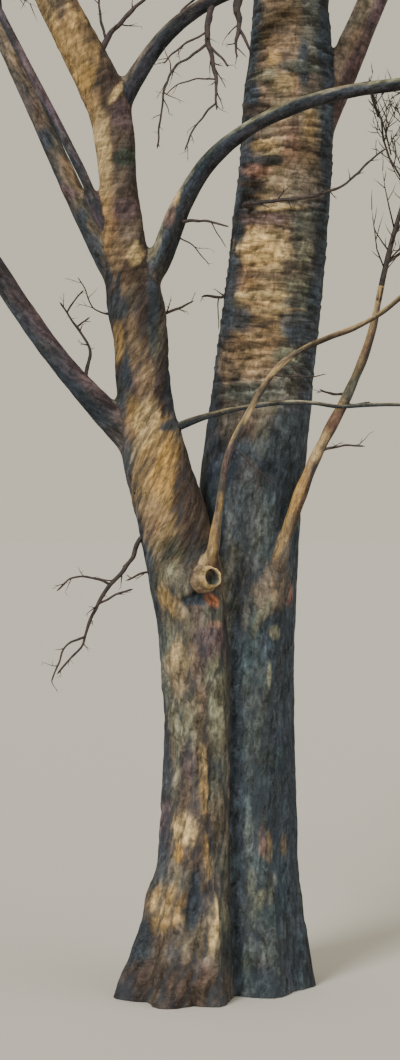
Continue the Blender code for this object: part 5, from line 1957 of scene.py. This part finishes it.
    @staticmethod
    def part_at(obj: Thing, height: float) -> Thing:
        """Parts a skin at a height.

        Args:
            obj: the skin, which keeps its upper part.
            height: where it is parted.

        Returns:
            The lower part.
        """
        select_only(obj)
        bpy.ops.object.mode_set(mode="EDIT")
        bpy.ops.mesh.select_mode(type="FACE")
        bpy.ops.mesh.select_all(action="DESELECT")
        shape = bmesh.from_edit_mesh(obj.data)
        for face in shape.faces:
            if sum(vertex.co.z for vertex in face.verts) < height * len(face.verts):
                face.select_set(True)
        bmesh.update_edit_mesh(obj.data)
        bpy.ops.mesh.separate(type="SELECTED")
        bpy.ops.object.mode_set(mode="OBJECT")
        return next(other for other in bpy.context.selected_objects if other != obj)

    def build(self, bark: Material) -> None:
        """Builds, dresses and parts the skins.

        Args:
            bark: what they are made of.
        """
        upper = self.low_skin()
        ground = {"plane_co": (0, 0, 0), "plane_no": (0, 0, 1)}
        edit_whole(upper, lambda: bpy.ops.mesh.bisect(**ground, clear_inner=True))
        self.keep_normals(upper.data)
        lower = self.part_at(upper, self.trunk_top)
        middle = self.part_at(upper, self.stems_top)
        high = self.high_skin()
        self.keep_normals(high.data)
        pieces = (
            (lower, "trunk_bark", ["trunk"], "stem_bark"),
            (middle, "stems_bark", ["left_stem", "right_stem", "low_left_bough", "outer_left_bough",
                                    "crossing_bough"], "stem_bark"),
            (upper, "forks_and_boughs_bark", ["centre_stem", "right_stem", *self.low_boughs], "stem_bark"),
            (high, "high_boughs_bark", ["right_leader", *(limb.name for limb in CROWN)], "bough_bark"),
        )
        for obj, name, nodes, slot in pieces:
            edit_whole(obj, lambda: bpy.ops.mesh.fill_holes(sides=0))
            obj.name = obj.data.name = name
            self.use_normals(obj.data)
            obj.data.materials.clear()
            obj.data.materials.append(bark)
            finish_piece(obj, nodes)


@dataclass
class Shoots:
    """The long thin shoots that rise from the trunk and cross in front of it."""

    skeleton: Skeleton
    field: BarkField
    step: float = 0.009
    turns: int = 5
    begins: tuple[tuple[str, float], ...] = (("knot_shoot", 0.17), ("right_side_shoot", 0.26),
                                             ("cross_twig", 0.09))

    def build(self, bark: Material) -> None:
        """Builds and dresses each shoot.

        Args:
            bark: what they are made of.
        """
        for name, begin in self.begins:
            course = self.skeleton.courses[name]
            line, radii, along = course.smooth(begin, self.skeleton.tips[name] + 0.01, self.step)
            bumps = 1 + 0.10 * np.sin(along * 31 + 2) * np.sin(along * 12.7)
            obj = curve_tube(name + "_bark", line, radii * bumps, self.turns)
            obj.data.name = obj.name
            edit_whole(obj, lambda: bpy.ops.mesh.remove_doubles(threshold=1e-5),
                       bpy.ops.mesh.normals_make_consistent)
            bpy.ops.object.shade_smooth()
            spots = self.field.locate(points_of(obj.data))
            spots.limb[:] = self.field.names.index(name)
            spots.joint[:] = 0
            self.field.dress(obj.data, spots)
            obj.data.materials.clear()
            obj.data.materials.append(bark)
            finish_piece(obj, [name])


# ---- The old wound's rim ----
@dataclass
class WoundRim:
    """The rolled rim round the dark hole of the old pruning wound."""

    skeleton: Skeleton
    turns: int = 56
    set_back: float = 0.010  # its face from the stub's end
    depth: float = 0.090  # from its face to its back, inside the stub
    rim_from: float = 0.04  # from the middle; the hole lies within hole_to
    hole_to: float = 0.036
    lump: float = 0.15  # how uneven the ring is, as a share of its radius
    oval: float = 0.10
    three_sided: float = 0.09  # and its mouth
    lumps: float = 1.3  # how many lie round it, and along its profile
    lumps_along: float = 30
    roll: float = 0.004  # how far they stand out of its face
    mottle: float = 0.25  # how uneven its paleness is, and how finely
    mottles: float = 4
    # how far out of the wound's face, how far from its middle, and how pale, from the outer foot in
    profile: tuple[Triple, ...] = (
        (-0.072, 0.0600, 0.00), (-0.060, 0.0590, 0.00), (-0.048, 0.0565, 0.04), (-0.037, 0.0510, 0.12),
        (-0.028, 0.0470, 0.30), (-0.020, 0.0460, 0.70), (-0.012, 0.0440, 0.95), (-0.005, 0.0395, 1.0),
        (-0.003, 0.0355, 0.95), (-0.007, 0.0325, 0.6), (-0.013, 0.0310, 0.2), (-0.022, 0.0290, 0.0),
        (-0.031, 0.0245, 0.0), (-0.037, 0.0170, 0.0), (-0.039, 0.0090, 0.0),
    )

    def rings(self, noise: Noise, angles: Rows) -> tuple[list[Rows], list[Rows]]:
        """Turns the profile round the wound, lumpy as grown wood is, and closes it front and back.

        Args:
            noise: what makes it lumpy.
            angles: where its points lie round each ring.

        Returns:
            The places of each ring and of the two end points, and how pale each place is.
        """
        centre, _, _ = self.skeleton.courses["left_axis"].at(KNOT_HEIGHT)
        way = heading(KNOT_BEARING, KNOT_CLIMB)
        face = np.array(centre + way * (KNOT_REACH - self.set_back))
        side = np.array(way.cross(Vector((0, 0, 1))).normalized())
        rise = np.cross(side, way)
        across, up = np.cos(angles), np.sin(angles)
        places, pale = [], []
        for out, radius, light in self.profile:
            circle = np.stack([across, up, np.full(self.turns, out * self.lumps_along)], 1)
            lumps = noise.layered(circle * self.lumps, 3)
            mouth = self.three_sided * np.cos(3 * (angles - math.pi / 2)) * (light < 0.7) * (out > -0.04)
            oval = self.oval * np.cos(angles - 0.2) * (radius > self.rim_from)
            wide = radius * (1 + self.lump * lumps + oval + mouth)
            ahead = out + self.roll * lumps
            places.append(face + np.outer(across * wide, side) + np.outer(up * wide, rise)
                          + np.outer(ahead, np.array(way)))
            pale.append(np.full(self.turns, light) * (1 + self.mottle * noise.at(circle * self.mottles)))
        middle = places[-1].mean(0) - np.array(way) * self.roll
        back = face - np.array(way) * self.depth
        return [*places, middle, back], [*pale, np.array([0.02, 0.2])]

    def faces(self) -> list[tuple[int, ...]]:
        """Joins the rings, and closes them with a fan at each end.

        Returns:
            Each face's vertices.
        """
        rows, ring = len(self.profile), range(self.turns)
        pairs = [(a, (a + 1) % self.turns) for a in ring]
        faces = [
            (r * self.turns + a, r * self.turns + b, (r + 1) * self.turns + b, (r + 1) * self.turns + a)
            for r in range(rows - 1) for a, b in pairs
        ]
        last, middle = (rows - 1) * self.turns, rows * self.turns
        faces += [(last + a, last + b, middle) for a, b in pairs]
        return faces + [(b, a, middle + 1) for a, b in pairs]

    def tint(self, noise: Noise, angles: Rows, places: Rows, pale: Rows) -> Rows:
        """The tint of each place: a cream rim, paler round one upper side as a painted highlight, on a
        bark-coloured flank, and a dark grey-green hole, painted shade in the hollow.

        Args:
            noise: what mottles it.
            angles: where the places lie round each ring.
            places: the places.
            pale: how pale each is.

        Returns:
            The colours, as rows.
        """
        warm = noise.layered(places * 30, 2)[:, None]
        # a painted highlight: the rim is paler round one upper side
        turned = np.concatenate([np.tile(np.cos(angles - 2.3), len(self.profile)), [0.0, 0.0]])[:, None]
        pale_tone = np.array(CREAM.value) * (0.72 + 0.4 * warm + 0.30 * turned)
        pale_tone += np.array(OCHRE.value) * 0.25
        flank = (np.array(TAN.value) * 0.4 + np.array(GREY_BROWN.value) * 0.6) * (1.0 + 1.3 * warm)
        within = np.repeat([radius < self.hole_to for _, radius, _ in self.profile], self.turns)
        within = np.concatenate([within, [True, False]])[:, None]
        # the flank keeps a bark tone; inside the hole the dark grey-green is painted shade in the hollow
        flank_and_hole_shade = np.where(within, np.array(GREY_GREEN.value) * 0.8, flank)
        return flank_and_hole_shade * (1 - pale) + pale_tone * pale

    def build(self, bark: Material) -> None:
        """Builds and dresses the rim.

        Args:
            bark: what it is made of.
        """
        noise = Noise(71)
        angles = math.tau * np.arange(self.turns) / self.turns
        places, pale = self.rings(noise, angles)
        places, pale = np.vstack(places), np.concatenate(pale)[:, None]
        mesh = bpy.data.meshes.new("wound_rim")
        mesh.from_pydata(places.tolist(), [], self.faces())
        obj = new_mesh_object("wound_rim", mesh)
        edit_whole(obj, bpy.ops.mesh.normals_make_consistent)
        bpy.ops.object.shade_smooth()
        put(mesh, "tint", self.tint(noise, angles, places, pale), "FLOAT_COLOR")
        put(mesh, "grain", places, "FLOAT_VECTOR")
        put(mesh, "banded", np.full(len(places), 0.3))
        put(mesh, "crease", np.zeros(len(places)))
        mesh.materials.append(bark)
        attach(obj, BODY)
        LOG.info("wound_rim: %d faces", len(mesh.polygons))


# ---- Short twigs on the bare limbs ----
SPRIGS = (
    Limb("fork_sprig", "left_axis", 2.70,
         ((0.0, 0, 8, 0.008), (0.115, 0, 14, 0.006), (0.165, 0, 22, 0.005), (0.20, 0, 34, 0.0042),
          (0.24, 0, 20, 0.003))),
    Limb("back_sprig", "right_axis", 2.88,
         ((0.0, 190, 0, 0.010), (0.16, 188, -20, 0.008), (0.19, 184, -57, 0.007), (0.235, 180, -50, 0.0065),
          (0.26, 180, 8, 0.006), (0.29, 180, 5, 0.006), (0.34, 180, -22, 0.004))),
    Limb("back_drop", "back_sprig", 0.265, ((0.0, 200, -86, 0.003), (0.14, 350, -86, 0.0016))),
    Limb("bough_sprig", "crossing_bough", 0.29,
         ((0.0, 350, -20, 0.004), (0.08, 355, -30, 0.003), (0.13, 0, -50, 0.0025), (0.20, 0, -50, 0.0018))),
    Limb("elbow_drop", "elbow_twig", 0.17, ((0.0, 0, -62, 0.0028), (0.12, 0, -58, 0.0015))),
    Limb("side_sprig", "right_side_shoot", 0.76,
         ((0.0, 345, 34, 0.007), (0.08, 350, 12, 0.005), (0.20, 0, -12, 0.0035))),
    Limb("high_side_sprig", "right_side_shoot", 1.03,
         ((0.0, 186, -6, 0.006), (0.06, 182, 4, 0.005), (0.12, 176, 38, 0.003))),
    Limb("low_side_sprig", "right_side_shoot", 0.99,
         ((0.0, 350, -20, 0.005), (0.04, 355, 2, 0.004), (0.11, 0, 14, 0.0025))),
    Limb("slant_sprig", "knot_shoot", 0.66,
         ((0.0, 350, -50, 0.0038), (0.10, 355, -46, 0.003), (0.16, 0, -38, 0.0025), (0.23, 0, -44, 0.0015))),
    Limb("slant_drop", "slant_sprig", 0.13, ((0.0, 0, -70, 0.0025), (0.11, 180, -86, 0.0014))),
    Limb("pale_sprig", "knot_shoot", 0.97,
         ((0.0, 350, -10, 0.0045), (0.06, 355, -2, 0.004), (0.14, 0, 2, 0.0032), (0.21, 0, 12, 0.0018))),
    Limb("lace_arc", "hanging_spray", 0.33,
         ((0.0, 182, 6, 0.0042), (0.05, 182, 0, 0.0036), (0.12, 183, -22, 0.003), (0.18, 185, -34, 0.0026),
          (0.22, 187, -52, 0.002))),
    Limb("lace_rise", "hanging_arm", 0.20,
         ((0.0, 90, 84, 0.0028), (0.05, 150, 78, 0.0024), (0.11, 170, 66, 0.0016))),
    Limb("lace_tick", "lace_rise", 0.07, ((0.0, 182, -8, 0.0022), (0.05, 180, -12, 0.0012))),
    Limb("lace_end", "hanging_arm", 0.30, ((0.0, 10, -60, 0.0026), (0.07, 0, -80, 0.0014))),
    Limb("fork_tick", "hanging_twig", 0.27, ((0.0, 350, -40, 0.003), (0.06, 352, -50, 0.0016))),
    Limb("spray_tick", "hanging_spray", 0.27,
         ((0.0, 0, -70, 0.0032), (0.05, 355, -56, 0.0025), (0.11, 352, -74, 0.0015))),
    Limb("arch_sprig", "arching_bough", 0.42,
         ((0.0, 10, 64, 0.006), (0.08, 5, 56, 0.005), (0.20, 0, 30, 0.0045), (0.34, 355, 34, 0.0035),
          (0.44, 352, 30, 0.0025))),
    Limb("stem_sprig", "left_axis", 2.72,
         ((0.0, 186, 4, 0.006), (0.10, 186, -6, 0.004), (0.15, 182, 20, 0.0035), (0.20, 176, 72, 0.003),
          (0.26, 172, 66, 0.0026), (0.32, 170, 50, 0.0018))),
    Limb("crotch_sprig", "low_left_bough", 0.16,
         ((0.0, 300, 86, 0.004), (0.08, 300, 84, 0.0034), (0.13, 190, 82, 0.0028), (0.20, 185, 76, 0.0016))),
    Limb("heel_sprig", "left_axis", 1.70,
         ((0.0, 189, -8, 0.006), (0.13, 189, -10, 0.005), (0.19, 190, -20, 0.0045), (0.24, 191, -30, 0.004))),
)
BARE_SPRIGS = ("elbow_twig", "elbow_drop", "slant_drop", "back_drop", "pale_sprig", "fork_tick", "lace_tick")


@dataclass
class ShortTwigs:
    """The short twigs on the bare parts of the limbs, in one joined piece."""

    skeleton: Skeleton
    step: float = 0.014
    sides: int = 7
    finest: int = 5
    crook: float = 0.0055
    knots: int = 14  # of the lines that twiglets grow on
    twiglets_from: float = 0.22  # the share of a twig that stays bare at its foot
    twiglet_pace: float = 0.062
    twiglet_reach: float = 0.105
    finest_pace: float = 0.045
    finest_reach: float = 0.045

    def twiglets(self, sheaf: Sheaf, lines: list[Rows], radii: list[Rows]) -> None:
        """Grows fine twiglets, and finer ones on them, by the crown's rule.

        Args:
            sheaf: what takes them.
            lines: the twigs that they grow on.
            radii: their radii.
        """
        rule = Crown(self.skeleton, spread=50, lift=0.05, thinnest=0.0009)
        chance = np.random.default_rng(77)
        shares = np.linspace(self.twiglets_from, 1, self.knots)
        stems = np.array([
            np.stack([np.interp(shares, np.linspace(0, 1, len(line)), line[:, k]) for k in range(3)], 1)
            for line in lines
        ])
        thick = np.array([np.interp(shares, np.linspace(0, 1, len(row)), row) for row in radii])
        tones = np.arange(len(lines)) % 2
        grown = rule.sprout(stems, thick, tones, self.twiglet_pace, self.twiglet_reach, 5, chance)
        sheaf.add(*grown)
        sheaf.add(*rule.sprout(*grown, self.finest_pace, self.finest_reach, 3, chance))

    def build(self, materials: list[Material]) -> None:
        """Builds them, each a little crooked.

        Args:
            materials: the tones that they take in turn.
        """
        sheaf = Sheaf()
        noise = Noise(91)
        for limb in SPRIGS:
            self.skeleton.lay(limb, 0.03)
        grown, thick = [], []
        for index, limb in enumerate((*TWIGS, *SPRIGS)):
            course = self.skeleton.courses[limb.name]
            line, radii, along = course.smooth(0.0, course.along[-1], self.step)
            wander = np.stack([noise.at(np.stack([along * 16, along * 0 + 7 * k, along * 0 + 3 * index], 1))
                               for k in range(3)], 1)
            line = line + self.crook * wander * np.minimum(1, along / 0.04)[:, None]
            swell = 1 + 0.16 * noise.at(np.stack([along * 38, along * 0 + 5.5, along * 0 + index], 1))
            sheaf.add_line(line, radii * swell, index % 2, self.sides if radii[0] > 0.005 else self.finest)
            if limb.name not in BARE_SPRIGS:
                grown.append(line)
                thick.append(radii)
        self.twiglets(sheaf, grown, thick)
        obj = sheaf.build("short_twigs", materials)
        finish_piece(obj, sorted(set(TWIG_NODES.values())))


# ---- The crown ----
CROWN_PIECES = {
    "left_crown_twigs": ("low_left_bough_twigs", "outer_left_bough_twigs", "inner_left_bough_twigs",
                         "low_left_spray", "outer_left_spray"),
    "middle_crown_twigs": ("arching_bough_twigs", "centre_bough_1_twigs", "centre_bough_2_twigs",
                           "centre_bough_3_twigs", "centre_twigs", "centre_spray_1", "centre_spray_2"),
    "right_crown_twigs": ("crossing_bough_twigs", "crossing_spray", "knot_shoot_twigs",
                          "right_side_shoot_twigs", "cross_twig_twigs", "right_high_bough_twigs",
                          "right_high_spray_1", "right_high_spray_2"),
    "back_crown_twigs": ("right_leader_twigs", "leader_spray_1", "leader_spray_2", "right_bough_1_twigs",
                         "right_bough_2_twigs"),
    "top_crown_twigs": ("right_bough_3_twigs", "right_bough_4_twigs", "right_twigs", "right_spray_1",
                        "right_spray_2", "right_spray_3"),
}


@dataclass
class Crown:
    """The masses of bare twigs: the solids' own twigs, and two finer orders that grow on them."""

    skeleton: Skeleton
    stem_step: float = 0.09
    stem_sides: int = 7
    side_sides: int = 5
    sprig_pace: float = 0.037  # between the third order's twigs
    sprig_reach: float = 0.32
    spur_pace: float = 0.042  # between the fourth order's
    spur_reach: float = 0.14
    spread: float = 44
    lift: float = 0.30
    thinnest: float = 0.0020
    thickest: float = 0.0042  # at a new twig's root
    root_share: float = 0.62  # of the radius that it grows from
    wander: float = 0.13  # how much it turns at each point
    clearance: float = 0.006

    def crooked(self, points: list[Vector], radii: list[float], knots: int,
                chance: np.random.Generator) -> tuple[Rows, Rows]:
        """A twig of the solids' made a little crooked, with its ends where they were.

        Args:
            points: its points.
            radii: its radii.
            knots: how many points it gets.
            chance: what its turns come from.

        Returns:
            The new points and radii.
        """
        places = np.array([tuple(point) for point in points])
        gone = np.concatenate([[0], np.cumsum(np.linalg.norm(np.diff(places, axis=0), axis=1))])
        now = np.linspace(0, gone[-1], knots)
        line = np.stack([np.interp(now, gone, places[:, k]) for k in range(3)], 1)
        line[1:-1] += chance.normal(scale=0.011 * gone[-1], size=(knots - 2, 3))
        return line, np.interp(now, gone, radii)

    def sprout(self, lines: Rows, radii: Rows, tones: Rows, pace: float, reach: float,
               knots: int, chance: np.random.Generator) -> tuple[Rows, Rows, Rows]:
        """The next finer order of twigs, spiralling up each twig.

        Args:
            lines: the twigs' points, as twigs by points by 3.
            radii: their radii.
            tones: their tones, which the new ones take.
            pace: about how far apart the new ones grow.
            reach: about how long they are.
            knots: how many points each gets.
            chance: what their places and turns come from.

        Returns:
            The new twigs' points, radii and tones.
        """
        lengths = np.linalg.norm(np.diff(lines, axis=1), axis=2).sum(1)
        counts = np.maximum(1, np.round(lengths / pace).astype(int))
        parent = np.repeat(np.arange(len(lines)), counts)
        order = np.arange(len(parent)) - np.repeat(np.cumsum(counts) - counts, counts)
        share = (order + chance.uniform(0.25, 0.95, len(parent))) / counts[parent]
        share = 0.06 + 0.92 * share
        spot = share * (lines.shape[1] - 1)
        at = np.minimum(spot.astype(int), lines.shape[1] - 2)
        part = (spot - at)[:, None]
        first, second = lines[parent, at], lines[parent, at + 1]
        start, way = first * (1 - part) + second * part, unit(second - first)
        thick = radii[parent, at] * (1 - part[:, 0]) + radii[parent, at + 1] * part[:, 0]
        helper = np.where(np.abs(way[:, 2:]) < 0.9, (0.0, 0.0, 1.0), (1.0, 0.0, 0.0))
        across = unit(np.cross(way, helper))
        other = np.cross(way, across)
        around = np.radians(order * GOLDEN_ANGLE + chance.uniform(-30, 30, len(parent)))[:, None]
        lean = np.radians(self.spread + chance.normal(0, 9, len(parent)))[:, None]
        way = way * np.cos(lean) + (across * np.cos(around) + other * np.sin(around)) * np.sin(lean)
        length = reach * chance.uniform(0.45, 1.25, len(parent)) * (1 - 0.42 * share)
        length = np.minimum(length, 0.75 * lengths[parent])
        points = [start]
        for _ in range(knots - 1):
            way = unit(way + (0, 0, self.lift / (knots - 1)) + chance.normal(0, self.wander, way.shape))
            points.append(points[-1] + way * (length / (knots - 1))[:, None])
        root = np.clip(self.root_share * thick, self.thinnest * 1.15, self.thickest)
        fall = np.linspace(0, 1, knots)
        thin = root[:, None] * (1 - fall) + self.thinnest * 0.75 * fall
        return np.stack(points, 1), thin, tones[parent]

    def within(self, lines: Rows, low: Rows, high: Rows) -> Rows:
        """Finds which twigs keep inside a box and clear of the limbs.

        Args:
            lines: the twigs' points.
            low: the box's lowest corner.
            high: its highest.

        Returns:
            Whether each does.
        """
        inside = ((lines > low) & (lines < high)).all((1, 2))
        outer = lines[:, 1:]
        clear = self.skeleton.room.clear(outer.reshape(-1, 3), self.clearance).reshape(outer.shape[:2]).all(1)
        return inside & clear

    def kept(self, lines: Rows, radii: Rows, tones: Rows, low: Rows,
             high: Rows) -> tuple[Rows, Rows, Rows]:
        """The twigs that have room, at full length or at half of it.

        Args:
            lines: the twigs, as twigs by points by 3.
            radii: their radii.
            tones: their tones.
            low: the lowest corner of their box.
            high: its highest.

        Returns:
            The kept twigs' points, radii and tones.
        """
        fits = self.within(lines, low, high)
        shorter = lines[~fits]
        shorter = shorter[:, :1] + 0.5 * (shorter - shorter[:, :1])
        also = self.within(shorter, low, high) if len(shorter) else np.zeros(0, bool)
        return (
            np.concatenate([lines[fits], shorter[also]]),
            np.concatenate([radii[fits], radii[~fits][also]]),
            np.concatenate([tones[fits], tones[~fits][also]]),
        )

    def grow(self, mass: Mass, sheaf: Sheaf) -> None:
        """Grows one mass into a sheaf.

        Args:
            mass: the mass.
            sheaf: what takes its twigs.
        """
        chance = np.random.default_rng(random.Random(mass.name).getrandbits(32))
        low, high = (np.array(corner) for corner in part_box(mass.name))
        begin = max(0.0, mass.start - 0.05)
        stem, thick, _ = mass.course.smooth(begin, mass.course.along[-1], self.stem_step)
        stem = np.clip(stem, low - 0.10, high)
        sheaf.add_line(stem, thick * (0.985 if begin else 1.0), 0, self.stem_sides)
        first = chance.integers(0, 3)
        stride = max(1, len(stem) // 12)
        parents = [(stem[None, ::stride], thick[None, ::stride], np.array([0]))]
        sides, fines = [], []
        for index, points, radii in self.skeleton.grow_mass(mass):
            long = len(points) == 3
            line, thin = self.crooked(points, radii, 7 if long else 5, chance)
            (sides if long else fines).append((np.clip(line, low, high), thin, (first + index) % 3))
        for group, edges in ((sides, self.side_sides), (fines, 4)):
            if group:
                lines, radii, tones = (np.array(column) for column in zip(*group))
                sheaf.add(lines, radii, tones, edges)
                parents.append((lines, radii, tones))
        for lines, radii, tones in parents:
            sprigs = self.sprout(lines, radii, tones, self.sprig_pace, self.sprig_reach, 4, chance)
            sprigs = self.kept(*sprigs, low, high)
            if not len(sprigs[0]):
                continue
            sheaf.add(*sprigs)
            spurs = self.sprout(*sprigs, self.spur_pace, self.spur_reach, 3, chance)
            sheaf.add(*self.kept(*spurs, low, high))

    def build(self, materials: list[Material]) -> None:
        """Builds each piece of the crown from its masses.

        Args:
            materials: the tones that the sprays take.
        """
        masses = {mass.name: mass for mass in self.skeleton.masses}
        for name, members in CROWN_PIECES.items():
            sheaf = Sheaf()
            for member in members:
                self.grow(masses[member], sheaf)
            finish_piece(sheaf.build(name, materials), members)


# ---- Studio ----
@dataclass
class Studio:
    """A plain pale floor, soft light and the camera."""

    distance: float = 9.0
    eye: tuple[float, float] = (-0.06, 1.84)
    frame_height: float = 4.24
    floor_radius: float = 320.0
    key: float = 3.1
    key_angle: float = 16.0
    fill: float = 0.9
    sky: Triple = (0.72, 0.665, 0.53)
    sky_strength: float = 1.0

    def build(self) -> None:
        """Sets the floor, the lights and the camera."""
        bpy.ops.object.select_all(action="DESELECT")
        bpy.ops.mesh.primitive_circle_add(vertices=96, radius=self.floor_radius, fill_type="NGON",
                                          location=(0, 0, -0.002))
        floor = bpy.context.active_object
        floor.name = "floor"
        floor.data.materials.append(FloorFinish().material())
        self.sun("key", self.key, self.key_angle, (0.42, 0.70, -0.58))
        self.sun("fill", self.fill, 60.0, (-0.75, 0.45, -0.45))
        world = bpy.data.worlds.new("studio")
        world.use_nodes = True
        bpy.context.scene.world = world
        background = world.node_tree.nodes["Background"]
        background.inputs["Color"].default_value = (*self.sky, 1.0)
        background.inputs["Strength"].default_value = self.sky_strength
        data = bpy.data.cameras.new("camera")
        data.sensor_width = 36.0
        data.lens = 18.0 / (self.frame_height / 2 / self.distance)
        data.clip_end = 1000.0
        camera = bpy.data.objects.new("camera", data)
        bpy.context.scene.collection.objects.link(camera)
        camera.location = (self.eye[0], -self.distance, self.eye[1])
        camera.rotation_euler = (math.pi / 2, 0, 0)
        bpy.context.scene.camera = camera

    @staticmethod
    def sun(name: str, strength: float, angle: float, way: Triple) -> None:
        """A broad light from far away.

        Args:
            name: its name.
            strength: its strength.
            angle: how wide it is, in degrees.
            way: the direction that it shines in.
        """
        data = bpy.data.lights.new(name, "SUN")
        data.energy, data.angle = strength, math.radians(angle)
        light = bpy.data.objects.new(name, data)
        light.rotation_mode = "QUATERNION"
        light.rotation_quaternion = Vector(way).to_track_quat("-Z", "Y")
        bpy.context.scene.collection.objects.link(light)


BODY = next(iter(frame["bodies"]))


def main() -> None:
    """Builds the tree round its frame, then its studio."""
    logging.basicConfig(level=logging.INFO, format="%(message)s", stream=sys.stdout)
    skeleton = Skeleton()
    field = BarkField(skeleton, ("left_axis", "right_axis", *(limb.name for limb in (*BOUGHS, *CROWN))))
    bark = BarkFinish("old_bark").material()
    young = BarkFinish("young_bark", stroke=(150, 150, 26), ring=(30, 30, 150), contrast=0.7, bump=0.0015,
                       fleck=CREAM.value).material()
    tones = [
        TwigFinish("twig_umber", (0.058, 0.042, 0.034), (0.024, 0.020, 0.021)).material(),
        TwigFinish("twig_purple", (0.072, 0.048, 0.046), (0.030, 0.024, 0.026)).material(),
        TwigFinish("twig_grey", (0.105, 0.084, 0.062), (0.045, 0.036, 0.028)).material(),
    ]
    Timber(skeleton, field).build(bark)
    Shoots(skeleton, field).build(young)
    WoundRim(skeleton).build(bark)
    ShortTwigs(skeleton).build(tones[:2])
    Crown(skeleton).build(tones)
    Studio().build()


if __name__ == "__main__":
    main()
